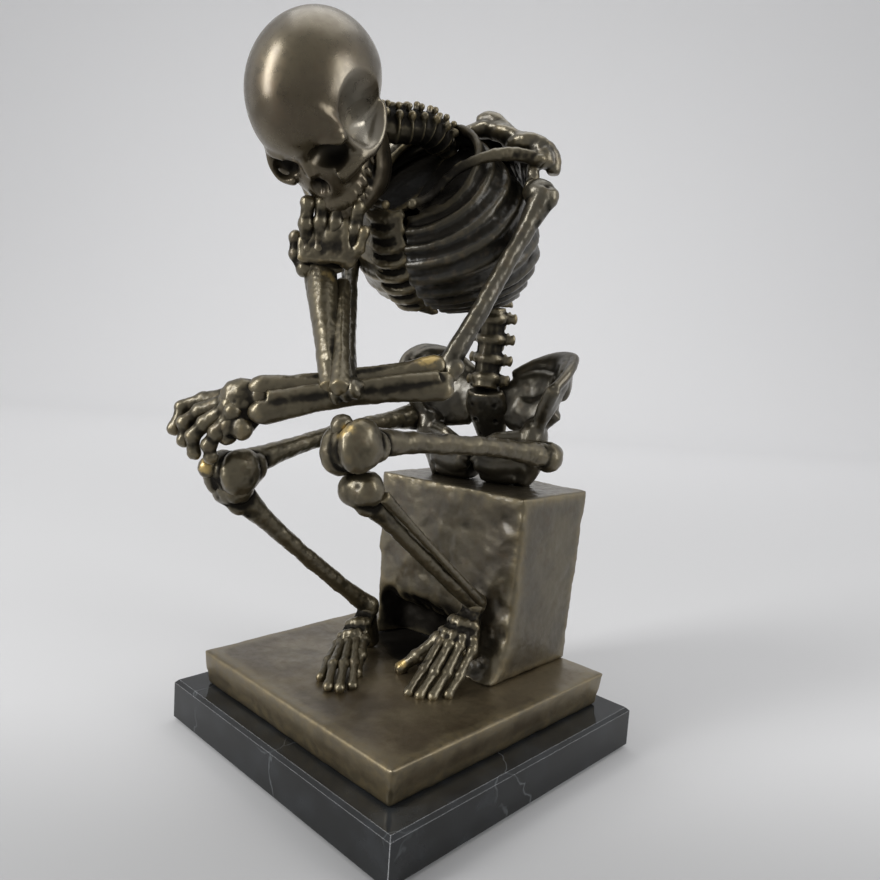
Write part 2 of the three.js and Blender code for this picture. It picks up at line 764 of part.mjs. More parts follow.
function humerus(shoulder, elbow, inward, grow) {
  const along = elbow.clone().sub(shoulder).normalize();
  const head = shoulder.clone().addScaledVector(inward, 2.5);
  const hinge = frameAlong(shoulder, elbow, inward);
  return join(
    shaft(shoulder, elbow.clone().addScaledVector(along, -2), humerusRadius, shoulderRadius, elbowRadius,
      inward.clone().multiplyScalar(-0.5), grow),
    ball(head, shoulderRadius, grow, 1),
    egg(elbow.clone().addScaledVector(along, -1), [elbowRadius * 0.9, elbowRadius * 1.45, elbowRadius * 0.9],
      hinge, grow, 1),
  );
}

function forearmBone(from, to, startRadius, endRadius, bow, grow) {
  return shaft(from, to, forearmRadius, startRadius, endRadius, bow, grow);
}

// Hands

// A digit runs over its joints, with a knuckle at each
function digit(joints, radius, grow, sides = 7) {
  const rings = [];
  joints.forEach((joint, i) => {
    const size = radius * (1 - 0.07 * i);
    if (i > 0) rings.push([joints[i - 1].clone().lerp(joint, 0.5), size * 0.84, size * 0.84]);
    rings.push([joint, size, size]);
  });
  return tube(rings, up.clone().add(new THREE.Vector3(0.31, 0.17, 0)), grow, sides);
}

const leftDigits = {
  index: [overSeat(-16, -93, 42), overSeat(-30, -97.5, 39), overSeat(-37, -104, 35), overSeat(-36, -109, 26)],
  middle: [overSeat(-14, -95, 40), overSeat(-26, -101, 34.5), overSeat(-29, -107, 29.5), overSeat(-28, -107.5, 22.5)],
  ring: [overSeat(-11, -96, 38), overSeat(-20, -101.5, 30), overSeat(-23, -105, 24.5), overSeat(-23, -104, 18)],
  little: [overSeat(-8, -96, 36), overSeat(-14, -99.5, 27), overSeat(-17, -101, 21.5), overSeat(-17, -100, 17)],
  thumb: [overSeat(-12, -86, 40), overSeat(-23, -86.5, 36), overSeat(-31, -92, 31), overSeat(-34, -97, 27)],
};

const rightDigits = {
  thumb: [overSeat(-21, -56, 97), overSeat(-24, -58.5, 103), overSeat(-24, -59, 110)],
  index: [overSeat(-17, -57, 105), overSeat(-15.5, -60, 115), overSeat(-13, -61.5, 123)],
  middle: [overSeat(-13, -54, 105), overSeat(-11, -56, 116), overSeat(-9, -57, 123.5)],
  ring: [overSeat(-8, -50, 105), overSeat(-6, -51.5, 116), overSeat(-4, -52, 123.5)],
  little: [overSeat(-3, -45.5, 104), overSeat(0, -46, 114), overSeat(2, -46.5, 122.5)],
};

function leftCarpus(grow) {
  const frame = frameAlong(leftWrist, leftDigits.middle[0], up);
  const back = egg(leftWrist.clone().lerp(leftDigits.middle[0], 0.55), [10, 8.5, 6.5], frame, grow, 1);
  const palm = egg(overSeat(-9, -91, 33.5), [7, 7.5, 6], frame, grow, 1);
  return back.add(palm);
}

function rightCarpus(grow) {
  return tube([
    [overSeat(-15.5, -48.5, 101), 7.5, 5.5],
    [overSeat(-14, -50.5, 103), 10, 6.5],
    [overSeat(-12.5, -52, 107), 10, 6],
    [overSeat(-11.5, -52, 110), 8.5, 4.5],
  ], direction(0.75, 0.55, 0.05), grow, 10);
}

// Legs

function femur(ballCentre, trochanter, knee, outward, grow) {
  const hinge = frameAlong(trochanter, knee, outward);
  const [along, across] = hinge;
  const condyle = (shift, drop) => egg(
    knee.clone().addScaledVector(across, shift).addScaledVector(up, -drop),
    [kneeRadius * 0.95, kneeRadius * 0.68, kneeRadius * 1.02],
    hinge,
    grow,
    2,
  );
  return join(
    shaft(trochanter, knee, femurRadius, trochanterRadius * 0.8, kneeRadius * 0.7,
      up.clone().multiplyScalar(3), grow),
    ball(trochanter, trochanterRadius, grow, 1),
    tube([[ballCentre, 4.4, 4.4], [trochanter, 5, 5]], up, grow, 8),
    ball(ballCentre, hipBallRadius, grow, 1),
    condyle(kneeRadius * 0.56, 0),
    condyle(-kneeRadius * 0.56, 2.5),
  );
}

function tibia(top, ankle, outward, grow) {
  const hinge = frameAlong(top, ankle, outward);
  const front = hinge[2].clone().multiplyScalar(hinge[2].y > 0 ? -1 : 1);
  return join(
    shaft(top, ankle, tibiaRadius, kneeRadius * 0.72, 4.6, front.clone().multiplyScalar(1.5), grow),
    egg(top, [6.6, kneeRadius, kneeRadius * 0.74], hinge, grow, 2),
  );
}

function fibula(head, ankle, outward, grow) {
  const along = ankle.clone().sub(head).normalize();
  const out = outward.clone().addScaledVector(along, -outward.dot(along)).normalize();
  const top = head.clone().addScaledVector(along, 5).addScaledVector(out, 8);
  const low = ankle.clone().addScaledVector(out, 4.6);
  return shaft(top, low, fibulaRadius, fibulaRadius * 1.5, fibulaRadius * 1.6, new THREE.Vector3(), grow, 6);
}

function patella(centre, grow) {
  return egg(centre, [4.4, 4.6, 4.8], level, grow, 1);
}

// Feet

const leftToes = [
  [overBase(22, -1, 19), overBase(17, -9, 11), overBase(12.5, -14.5, 5)],
  [overBase(26, -3, 19.5), overBase(28, -15, 10), overBase(30, -26, 2.6)],
  [overBase(30.5, -2, 19.5), overBase(33, -13.5, 10), overBase(35, -24, 2.4)],
  [overBase(34.5, 1, 19), overBase(37, -9.5, 9.5), overBase(39, -20, 2.4)],
  [overBase(38.5, 5, 17.5), overBase(40.5, -4.5, 8.5), overBase(42, -13, 2.4)],
];
const rightToes = [
  [overBase(-11, -19, 12), overBase(-4, -26, 8.5), overBase(1.5, -33, 3.6)],
  [overBase(-11.5, -23, 12.5), overBase(0, -33, 8), overBase(9, -41, 2.4)],
  [overBase(-13, -26, 12), overBase(-2, -37.5, 7.5), overBase(7.5, -47, 2.4)],
  [overBase(-15.5, -28, 11), overBase(-6, -40.5, 7), overBase(3, -50, 2.2)],
  [overBase(-18.5, -28.5, 9.5), overBase(-12.5, -38, 6), overBase(-7, -46.5, 2.2)],
];

function tarsus(ankle, toes, heel, grow) {
  const middle = toes[2][0];
  const across = toes[4][0].clone().sub(toes[0][0]).normalize();
  const low = ankle.clone().lerp(middle, 0.35);
  return join(
    tube([
      [ankle.clone().lerp(middle, 0.12), 4.8, 5.2],
      [low, 6.4, 6.2],
      [ankle.clone().lerp(middle, 0.8), 8.6, 5],
      [middle.clone().lerp(ankle, 0.04), 9, 3.6],
    ], across, grow, 10),
    tube([[low, 5, 5], [heel, 4.6, 5]], across, grow, 8),
  );
}

// Every piece in the order it is fitted: a later one is cut to clear the ones before it

const outward = hipSide;
const pieces = [
  ['base_felt', felt],
  ['marble_plinth', plinth],
  ['fixing_screw_left', () => screw(screwPlaces[1])],
  ['fixing_screw_right', () => screw(screwPlaces[0])],
  ['base_casting', baseCasting],
  ['seat_block', seatBlock],
  ['cranium', cranium],
  ['mandible', mandible],
  ['sternum', sternum],
  ['cervical_spine', cervicalSpine],
  ['thoracic_spine', thoracicSpine],
  ['lumbar_spine', lumbarSpine],
  ['sacrum', sacrum],
  ['left_rib_cage', (grow) => ribHalf(1, grow)],
  ['right_rib_cage', (grow) => ribHalf(-1, grow)],
  ['left_femur', (grow) => femur(leftHip, leftTrochanter, leftKnee, outward, grow)],
  ['right_femur', (grow) => femur(rightHip, rightTrochanter, rightKnee, outward, grow)],
  ['left_hip_bone', (grow) => hipBone(1, grow)],
  ['right_hip_bone', (grow) => hipBone(-1, grow)],
  ['left_patella', (grow) => patella(leftPatella, grow)],
  ['right_patella', (grow) => patella(rightPatella, grow)],
  ['left_tibia', (grow) => tibia(leftShin, leftAnkle, outward, grow)],
  ['right_tibia', (grow) => tibia(rightShin, rightAnkle, outward, grow)],
  ['left_fibula', (grow) => fibula(leftShin, leftAnkle, outward, grow)],
  ['right_fibula', (grow) => fibula(rightShin, rightAnkle, outward.clone().negate(), grow)],
  ['left_tarsus', (grow) => tarsus(leftAnkle, leftToes, overBase(29, 15, 12), grow)],
  ['right_tarsus', (grow) => tarsus(rightAnkle, rightToes, overBase(-25, -2, 4.5), grow)],
  ...leftToes.map((toe, i) => [`left_toe_${i + 1}`, (grow) => digit(toe, toeRadius * (i ? 1 : 1.3), grow)]),
  ...rightToes.map((toe, i) => [`right_toe_${i + 1}`, (grow) => digit(toe, toeRadius * (i ? 1 : 1.3), grow)]),
  ['left_humerus', (grow) => humerus(leftShoulder, leftElbow, chestSide.clone().negate(), grow)],
  ['right_humerus', (grow) => humerus(rightShoulder, rightElbow, chestSide, grow)],
  ['left_clavicle', (grow) => clavicle(leftClaviclePoints, grow)],
  ['right_clavicle', (grow) => clavicle(rightClaviclePoints, grow)],
  ['left_scapula', (grow) => scapula(1, leftSocket, leftRidge, grow)],
  ['right_scapula', (grow) => scapula(-1, rightSocket, rightRidge, grow)],
  ['left_ulna', (grow) => forearmBone(
    leftElbow.clone().add(new THREE.Vector3(-2, -4, 0)), leftWrist.clone().add(new THREE.Vector3(1, -1, 3.5)),
    5, 4.4, new THREE.Vector3(0, 0, -1), grow)],
  ['left_radius', (grow) => forearmBone(
    leftElbow.clone().add(new THREE.Vector3(4, -5, -9)), leftWrist.clone().add(new THREE.Vector3(5, -3, -6)),
    4, 4, new THREE.Vector3(0, 0, 0.5), grow)],
  ['right_radius', (grow) => shaft(
    rightElbow.clone().add(new THREE.Vector3(-6, -4, 2)), rightWrist.clone().add(new THREE.Vector3(-2, -2, -3)),
    forearmRadius * 1.2, 4.4, 7.6, new THREE.Vector3(0, 0, 0), grow)],
  ['right_ulna', (grow) => forearmBone(
    rightElbow.clone().add(new THREE.Vector3(0, -3, 2)), rightWrist.clone().add(new THREE.Vector3(5, 5, -9)),
    4.4, 3.6, new THREE.Vector3(0, 0, 0), grow)],
  ['left_carpus', leftCarpus],
  ['right_carpus', rightCarpus],
  ...Object.entries(leftDigits).map(([name, joints]) => (
    [`left_${name}_finger`, (grow) => digit(joints, fingerRadius * 1.25, grow)])),
  ...Object.entries(rightDigits).map(([name, joints]) => (
    [`right_${name}_finger`, (grow) => digit(joints, fingerRadius * 1.3, grow)])),
];

// Groups of numbers that were linked in pairs
function linker(count) {
  const parent = Array.from({ length: count }, (_, i) => i);
  const find = (i) => {
    let root = i;
    while (parent[root] !== root) root = parent[root];
    parent[i] = root;
    return root;
  };
  const link = (a, b) => {
    parent[find(a)] = find(b);
  };
  return { find, link };
}

// Corners closer together than the weld size become one, and triangles that close up with them go
function welded({ vertProperties, triVerts }) {
  const corner = (i) => new THREE.Vector3().fromArray(vertProperties, 3 * i);
  const { find, link } = linker(vertProperties.length / 3);
  for (let t = 0; t < triVerts.length; t += 3) {
    for (let k = 0; k < 3; k += 1) {
      const a = find(triVerts[t + k]);
      const b = find(triVerts[t + ((k + 1) % 3)]);
      if (corner(a).distanceTo(corner(b)) < weldSize) link(a, b);
    }
  }
  const faces = new Map();
  for (let t = 0; t < triVerts.length; t += 3) {
    const face = [0, 1, 2].map((k) => find(triVerts[t + k]));
    if (new Set(face).size < 3) continue;
    const key = [...face].sort((a, b) => a - b).join();
    if (faces.has(key)) faces.delete(key);
    else faces.set(key, face);
  }
  return { corners: new Float32Array(vertProperties), faces: [...faces.values()] };
}

// What a cut leaves loose beside the main body, or hanging on it by one corner, is dropped
function mainBody({ corners, faces }) {
  const { find, link } = linker(faces.length);
  const edges = new Map();
  faces.forEach((face, i) => {
    for (let k = 0; k < 3; k += 1) {
      const key = [face[k], face[(k + 1) % 3]].sort((a, b) => a - b).join();
      if (edges.has(key)) link(i, edges.get(key));
      else edges.set(key, i);
    }
  });
  const groups = new Map();
  faces.forEach((face, i) => {
    const root = find(i);
    if (!groups.has(root)) groups.set(root, []);
    groups.get(root).push(...face);
  });
  const largest = [...groups.values()].sort((a, b) => b.length - a.length)[0];
  const geometry = new THREE.BufferGeometry();
  geometry.setAttribute('position', new THREE.BufferAttribute(corners, 3));
  geometry.setIndex(largest);
  return geometry;
}

const stone = new THREE.MeshStandardMaterial({ color: 0x14161a, roughness: 0.12, metalness: 0 });
const bronze = new THREE.MeshStandardMaterial({ color: 0x4a4030, roughness: 0.38, metalness: 1 });
const steel = new THREE.MeshStandardMaterial({ color: 0x8a8c90, roughness: 0.4, metalness: 1 });
const cloth = new THREE.MeshStandardMaterial({ color: 0x1c3a2a, roughness: 0.95, metalness: 0 });
const finishes = { base_felt: cloth, marble_plinth: stone, fixing_screw_left: steel, fixing_screw_right: steel };

const statue = new THREE.Group();
const fitted = [];
for (const [name, build] of pieces) {
  const carved = name.startsWith('base_') || name.startsWith('marble') || name.startsWith('fixing');
  let shape = build(0);
  const box = shape.boundingBox();
  for (const other of fitted) {
    const apart = [0, 1, 2].some((k) => (
      other.box.min[k] > box.max[k] + boneClearance || other.box.max[k] < box.min[k] - boneClearance));
    if (!apart && !carved) shape = shape.subtract(other.grown);
  }
  fitted.push({ box, grown: carved || name === 'seat_block' ? shape : build(boneClearance) });
  const mesh = new THREE.Mesh(mainBody(welded(shape.getMesh())), (finishes[name] ?? bronze).clone());
  mesh.name = name;
  statue.add(mesh);
}

export default statue;
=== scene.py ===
"""A bronze skeleton seated in thought on a rock, on a bronze plate and a polished black marble plinth."""

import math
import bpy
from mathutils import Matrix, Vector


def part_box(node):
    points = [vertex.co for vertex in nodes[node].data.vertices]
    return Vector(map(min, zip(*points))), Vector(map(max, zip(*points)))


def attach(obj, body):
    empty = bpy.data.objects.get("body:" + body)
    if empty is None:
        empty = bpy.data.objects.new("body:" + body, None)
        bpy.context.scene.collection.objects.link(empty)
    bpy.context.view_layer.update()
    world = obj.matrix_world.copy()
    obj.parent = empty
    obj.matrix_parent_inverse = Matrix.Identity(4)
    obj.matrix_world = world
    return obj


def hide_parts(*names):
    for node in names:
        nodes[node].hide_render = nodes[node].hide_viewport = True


bl_info = {
    "name": "Bronze skeleton statue",
    "version": (1, 0, 0),
    "blender": (4, 5, 0),
    "location": "3D View > Sidebar > Statue",
    "description": "Dresses the statue's solids in cast bronze, marble and felt",
    "category": "Object",
}

import bmesh
import bpy
import numpy as np
from mathutils import Matrix, Vector, noise as field

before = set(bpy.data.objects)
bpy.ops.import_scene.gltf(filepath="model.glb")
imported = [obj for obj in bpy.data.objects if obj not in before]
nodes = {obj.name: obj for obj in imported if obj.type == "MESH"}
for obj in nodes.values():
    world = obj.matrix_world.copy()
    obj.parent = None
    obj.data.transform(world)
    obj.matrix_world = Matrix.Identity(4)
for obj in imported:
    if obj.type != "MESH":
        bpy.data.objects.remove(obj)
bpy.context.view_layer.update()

# Sizes here are in millimetres, and a finished mesh is brought to metres
MM = 0.001
X = Vector((1, 0, 0))
Y = Vector((0, 1, 0))
UP = Vector((0, 0, 1))
LEVEL = (X, Y, UP)
BASE_THICKNESS = 16.5
SEAT_HEIGHT = 88.5
PLINTH_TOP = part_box("marble_plinth")[1].z / MM
BASE_TOP = PLINTH_TOP + BASE_THICKNESS
SEAT_TOP = BASE_TOP + SEAT_HEIGHT


def over_seat(x, y, height):
    return Vector((x, y, SEAT_TOP + height))


def over_base(x, y, height):
    return Vector((x, y, BASE_TOP + height))


class Body:
    """A part of the figure with its own directions: to the figure's left, to the front, and up."""

    def __init__(self, centre, side, front, rise):
        self.centre = centre
        self.side = side.normalized()
        self.front = front.normalized()
        self.rise = rise.normalized()
        self.axes = (self.side, self.front, self.rise)

    def at(self, side, front, rise):
        return self.centre + self.side * side + self.front * front + self.rise * rise


def turned(degrees):
    angle = math.radians(degrees)
    return Vector((math.cos(angle), math.sin(angle), 0))


CHEST_TURN = 14
CHEST_LEAN = math.radians(45)
HIP_TURN = 18
SKULL_TURN = 21
SKULL_PITCH = math.radians(52)

chest_side = turned(CHEST_TURN)
chest_ahead = turned(CHEST_TURN - 90)
chest_up = chest_ahead * math.sin(CHEST_LEAN) + UP * math.cos(CHEST_LEAN)
CHEST = Body(over_seat(0.5, 11, 116), chest_side, chest_side.cross(chest_up), chest_up)
HIPS = Body(over_seat(0, 46, 34), turned(HIP_TURN), turned(HIP_TURN - 90), UP)
skull_side = turned(SKULL_TURN)
skull_front = turned(SKULL_TURN - 90) * math.cos(SKULL_PITCH) - UP * math.sin(SKULL_PITCH)
SKULL = Body(over_seat(-6, -65, 166), skull_side, skull_front, skull_front.cross(skull_side))

# Landmarks of the seated figure
LEFT_HIP = over_seat(26, 52, 21)
RIGHT_HIP = over_seat(-25, 35, 24)
LEFT_TROCHANTER = over_seat(40, 49.5, 17.5)
RIGHT_TROCHANTER = over_seat(-35, 30, 30)
LEFT_KNEE = over_seat(38, -72.5, 28)
RIGHT_KNEE = over_seat(-22, -87, 10)
LEFT_SHIN = over_seat(37, -66, 10.5)
RIGHT_SHIN = over_seat(-22.5, -86.5, 2)
LEFT_ANKLE = over_base(30, 14, 36.5)
RIGHT_ANKLE = over_base(-20, -9, 25)
LEFT_SHOULDER = over_seat(53.8, 12.5, 134.2)
RIGHT_SHOULDER = over_seat(-37, -18, 116)
LEFT_ELBOW = over_seat(40.4, -26.4, 58.7)
RIGHT_ELBOW = over_seat(22, -64, 47)
LEFT_WRIST = over_seat(-4, -86, 42.5)
RIGHT_WRIST = over_seat(-17, -47, 100)

KNEE_RADIUS = 10
FINGER_RADIUS = 3.8
TOE_RADIUS = 2.9

LEFT_DIGITS = {
    "index": [(-16, -93, 42), (-29.5, -97, 39), (-36, -103, 35), (-35.5, -106.5, 26.5)],
    "middle": [(-14, -95, 40), (-26, -100.5, 34.5), (-29, -105.5, 29.5), (-28, -106, 22.5)],
    "ring": [(-11, -96, 38), (-20, -101.5, 30), (-23, -105, 24.5), (-23, -104, 18)],
    "little": [(-8, -96, 36), (-14, -99.5, 27), (-17, -101, 21.5), (-17, -100, 17)],
    "thumb": [(-12, -86, 40), (-23, -86.5, 36), (-31, -92, 31), (-34, -97, 27)],
}
RIGHT_DIGITS = {
    "thumb": [(-21, -56, 97), (-24, -58.5, 103), (-24, -59, 110)],
    "index": [(-17, -57, 105), (-15.5, -60, 115), (-13, -61.5, 123)],
    "middle": [(-13, -54, 105), (-11, -56, 116), (-9, -57, 123.5)],
    "ring": [(-8, -50, 105), (-6, -51.5, 116), (-4, -52, 123.5)],
    "little": [(-3, -45.5, 104), (0, -46, 114), (2, -46.5, 122.5)],
}
LEFT_TOES = [
    [(22, -1, 19), (17, -9, 11), (12.5, -14.5, 5)],
    [(26, -3, 19.5), (28, -15, 10), (30, -26, 2.6)],
    [(30.5, -2, 19.5), (33, -13.5, 10), (35, -24, 2.4)],
    [(34.5, 1, 19), (37, -9.5, 9.5), (39, -20, 2.4)],
    [(38.5, 5, 17.5), (40.5, -4.5, 8.5), (42, -13, 2.4)],
]
RIGHT_TOES = [
    [(-11, -19, 12), (-4, -26, 8.5), (1.5, -33, 3.6)],
    [(-11.5, -23, 12.5), (0, -33, 8), (9, -41, 2.4)],
    [(-13, -26, 12), (-2, -37.5, 7.5), (7.5, -47, 2.4)],
    [(-15.5, -28, 11), (-6, -40.5, 7), (3, -50, 2.2)],
    [(-18.5, -28.5, 9.5), (-12.5, -38, 6), (-7, -46.5, 2.2)],
]

# Places where the patina is rubbed through to gold: centre, radius, strength
GOLD_SPOTS = [
    (LEFT_KNEE + Vector((4, -6, 6)), 5, 0.8),
    (over_seat(-24, -100, 12), 5, 0.8),
    (LEFT_ELBOW + Vector((-2, -10, 5)), 6, 0.9),
    (over_base(12.5, -14.5, 7), 4, 1.0),
    (over_seat(-10, -52, 92), 6, 0.6),
    (LEFT_ANKLE + Vector((4, 0, 30)), 6, 0.5),
    (over_seat(24, -14, 144), 5, 0.45),
]
# Painted shade: undercuts and sockets painted nearly black where shadow falls: centre, radius, strength
PAINTED_SHADE_SPOTS = [
    (over_base(-8, 24, 8), 22, 1.0),
    (over_base(-32, 26, 8), 22, 1.0),
    (over_base(12, 20, 8), 15, 1.0),
    (over_base(0, 6, 1), 11, 1.0),
    (over_base(10, 8, 1), 9, 0.9),
    (CHEST.at(0, -2, 33), 24, 1.0),
    (CHEST.at(0, 2, 20), 26, 0.9),
    (HIPS.at(0, 4, -14), 15, 0.9),
    (SKULL.at(13, 24, -11.5), 6.5, 1.2),
    (SKULL.at(-8, 24.5, -14), 5.5, 1.2),
    (SKULL.at(4, 28.5, -23), 3.6, 1.0),
]
# Painted reflection: pale places on the skull's temple scoop, standing in for the bright room it mirrors
PAINTED_REFLECTION_SPOTS = [
    (SKULL.at(22, 10, -10), 11, 1.0),
    (SKULL.at(20, 8, 6), 10, 0.6),
]


class StatueSettings(bpy.types.PropertyGroup):
    """Sizes and colours of the bronze, stone and felt."""

    bone_grain: bpy.props.FloatProperty(
        name="Bone grain", description="Mesh size of the bones",
        default=0.55 * MM, unit="LENGTH", precision=5)
    rock_grain: bpy.props.FloatProperty(
        name="Rock grain", description="Mesh size of the plate and rock",
        default=1.0 * MM, unit="LENGTH", precision=5)
    patina: bpy.props.FloatVectorProperty(
        name="Patina", description="Brown of the bronze",
        default=(0.083, 0.07, 0.043), subtype="COLOR")
    # Also the colour of the painted shade in the undercuts
    recess_and_shade: bpy.props.FloatVectorProperty(
        name="Recess", description="Dark brown left in the hollows",
        default=(0.018, 0.016, 0.013), subtype="COLOR")
    rubbed: bpy.props.FloatVectorProperty(
        name="Rubbed", description="Bare bronze on the high points",
        default=(0.42, 0.31, 0.12), subtype="COLOR")
    marble: bpy.props.FloatVectorProperty(
        name="Marble", description="Ground colour of the stone",
        default=(0.013, 0.0135, 0.0135), subtype="COLOR")
    vein: bpy.props.FloatVectorProperty(
        name="Vein", description="Colour of the stone's veins",
        default=(0.12, 0.13, 0.135), subtype="COLOR")
    felt: bpy.props.FloatVectorProperty(
        name="Felt", description="Colour of the felt",
        default=(0.015, 0.05, 0.03), subtype="COLOR")


class StageSettings(bpy.types.PropertyGroup):
    """The floor, the backdrop and the camera."""

    floor: bpy.props.FloatVectorProperty(
        name="Floor", description="Colour of the floor and backdrop",
        default=(0.54, 0.54, 0.543), subtype="COLOR")
    lens: bpy.props.FloatProperty(
        name="Lens", description="Focal length on a 36 mm sensor",
        default=30.68, unit="CAMERA")


def smooth_share(value, low, high):
    share = min(max((value - low) / (high - low), 0), 1)
    return share * share * (3 - 2 * share)


# Shapes, each added to a mesh that is being built


def egg(bm, centre, sizes, axes=LEVEL, steps=3):
    """An egg with three half sizes along three directions."""
    columns = [axis.normalized() * size for axis, size in zip(axes, sizes)]
    place = Matrix(columns).transposed().to_4x4()
    place.translation = centre
    return bmesh.ops.create_icosphere(bm, subdivisions=steps, radius=1.0, matrix=place)["verts"]


def ball(bm, centre, radius):
    return egg(bm, centre, (radius, radius, radius))


def along(start, end, aim):
    """Directions with the first from start to end and the second towards aim."""
    run = (end - start).normalized()
    across = (aim - run * aim.dot(run)).normalized()
    return run, across, run.cross(across)


def tube(bm, rings, aim=UP, sides=14):
    """A closed tube through rings of centre, half width and half depth; aim points along the width."""
    last = len(rings) - 1

    def ring_place(i):
        centre, width, depth = rings[i]
        run, across, over = along(rings[max(i - 1, 0)][0], rings[min(i + 1, last)][0], aim)
        place = Matrix((across * width, over * depth, run)).transposed().to_4x4()
        place.translation = centre
        return place

    start = bmesh.ops.create_circle(bm, segments=sides, radius=1.0, matrix=ring_place(0))["verts"]
    edges = list({edge for vert in start for edge in vert.link_edges})
    bmesh.ops.contextual_create(bm, geom=edges)
    for i in range(1, last + 1):
        grown = bmesh.ops.extrude_edge_only(bm, edges=edges)["geom"]
        verts = {item for item in grown if isinstance(item, bmesh.types.BMVert)}
        edges = [item for item in grown if isinstance(item, bmesh.types.BMEdge) and set(item.verts) <= verts]
        step = ring_place(i) @ ring_place(i - 1).inverted()
        bmesh.ops.transform(bm, matrix=step, verts=list(verts))
    bmesh.ops.contextual_create(bm, geom=edges)


def curve_weights(t):
    """Shares of four neighbours at t of the way from the second to the third, on a smooth curve."""
    return (
        -0.5 * t + t * t - 0.5 * t ** 3,
        1 - 2.5 * t * t + 1.5 * t ** 3,
        0.5 * t + 2 * t * t - 1.5 * t ** 3,
        0.5 * t ** 3 - 0.5 * t * t,
    )


def neighbours(rows, i):
    """The four rows round the stretch from row i to the next, with the end rows used twice."""
    return [rows[max(i - 1, 0)], rows[i], rows[i + 1], rows[min(i + 2, len(rows) - 1)]]


def flowing(rings, steps=4):
    """More rings between the given ones, on a smooth curve through them."""
    smooth = []
    for i in range(len(rings) - 1):
        around = neighbours(rings, i)
        for k in range(steps):
            weights = curve_weights(k / steps)
            centre = sum((ring[0] * w for ring, w in zip(around, weights)), Vector())
            width, depth = (sum(ring[j] * w for ring, w in zip(around, weights)) for j in (1, 2))
            smooth.append((centre, width, depth))
    return smooth + [rings[-1]]


def body_tube(bm, body, rows, aim=None, side=1, sides=14):
    """A flowing tube in a body part's directions: rows of side, front, rise, half width and half depth."""
    rings = [(body.at(side * out, front, rise), width, depth) for out, front, rise, width, depth in rows]
    tube(bm, flowing(rings), aim or body.side, sides)


# The direction that the width of a long bone, and of a finger or toe, points along
BONE_AIM = Vector((0.3, 0.2, 1))
DIGIT_AIM = UP + X * 0.31 + Y * 0.17


def bone(bm, start, end, slim, start_radius, end_radius, bow=None, flat=0.9, reach=0.16):
    """A long bone: slim in the middle, wider towards both ends."""
    middle = (start + end) / 2 + (bow or Vector()) * 2
    rings = []
    for t in (0, 0.04, 0.09, 0.15, 0.22, 0.32, 0.5, 0.68, 0.78, 0.85, 0.91, 0.96, 1):
        centre = start * (1 - t) ** 2 + middle * (2 * t * (1 - t)) + end * t * t
        swell = (start_radius - slim) * math.exp(-(t / reach) ** 2)
        swell += (end_radius - slim) * math.exp(-((1 - t) / reach) ** 2)
        rings.append((centre, slim + swell, (slim + swell) * flat))
    tube(bm, rings, BONE_AIM)


def node_copy(name):
    """A mesh to build on that starts as a copy of a CAD node, with its loose triangles merged."""
    bm = bmesh.new()
    bm.from_mesh(nodes[name].data)
    bmesh.ops.remove_doubles(bm, verts=bm.verts, dist=0.002 * MM)
    bmesh.ops.scale(bm, vec=Vector((1, 1, 1)) / MM, verts=bm.verts)
    return bm


# From a built mesh to a finished cast piece


def add_object(name, data):
    piece = bpy.data.objects.new(name, data)
    bpy.context.scene.collection.objects.link(piece)
    return piece


def own_object(name, bm):
    """An object at the origin with the built mesh, brought to metres."""
    bmesh.ops.scale(bm, vec=Vector((MM, MM, MM)), verts=bm.verts)
    mesh = bpy.data.meshes.new(name)
    bm.to_mesh(mesh)
    bm.free()
    return add_object(name, mesh)


def add_skin(piece, grain, number):
    skin = piece.modifiers.new(f"Skin {number}", "REMESH")
    skin.mode = "VOXEL"
    skin.voxel_size = grain
    skin.use_smooth_shade = True


def clouds(size):
    """A soft noise whose lumps have the given size in millimetres."""
    name = f"Clouds {size}"
    if name in bpy.data.textures:
        return bpy.data.textures[name]
    texture = bpy.data.textures.new(name, "CLOUDS")
    texture.noise_scale = size * MM
    texture.noise_depth = 2
    return texture


def apply_modifiers(piece):
    shown = piece.evaluated_get(bpy.context.evaluated_depsgraph_get())
    mesh = bpy.data.meshes.new_from_object(shown)
    piece.modifiers.clear()
    piece.data = mesh
    mesh.name = piece.name


QUICK_GRAIN = 1.5
# How often the points are averaged to find the soft surface that the wear stands out of
WEAR_ROUNDS = 22


def rounds_of(count):
    return round(count * QUICK_GRAIN ** 2)


def cast(name, bm, grain=None, smooth=4, lumps=(), cuts=None, swell=0.0):
    """Every overlapping shape in the mesh made one skin, then cut, smoothed and given the cast's lumps."""
    grain = grain or bpy.context.scene.statue.bone_grain
    bmesh.ops.recalc_face_normals(bm, faces=bm.faces)
    piece = own_object(name, bm)
    add_skin(piece, grain, 1)
    if cuts is not None:
        bmesh.ops.recalc_face_normals(cuts, faces=cuts.faces)
        cutter = own_object(f"{name}_cutter", cuts)
        add_skin(cutter, grain, 1)
        cut = piece.modifiers.new("Cut", "BOOLEAN")
        cut.operation = "DIFFERENCE"
        cut.solver = "EXACT"
        cut.object = cutter
        add_skin(piece, grain, 2)
    soften = piece.modifiers.new("Soften", "SMOOTH")
    soften.factor = 0.5
    soften.iterations = rounds_of(smooth)
    if swell:
        grow = piece.modifiers.new("Swell", "DISPLACE")
        grow.strength = swell * MM
        grow.mid_level = 0.0
    for size, height in lumps:
        lump = piece.modifiers.new(f"Lumps {size}", "DISPLACE")
        lump.texture = clouds(size)
        lump.texture_coords = "LOCAL"
        lump.strength = height * MM
        lump.mid_level = 0.5
    apply_modifiers(piece)
    if cuts is not None:
        bpy.data.objects.remove(cutter)
    return piece


def points_of(mesh):
    flat = np.empty(len(mesh.vertices) * 3)
    mesh.vertices.foreach_get("co", flat)
    return flat.reshape(-1, 3)


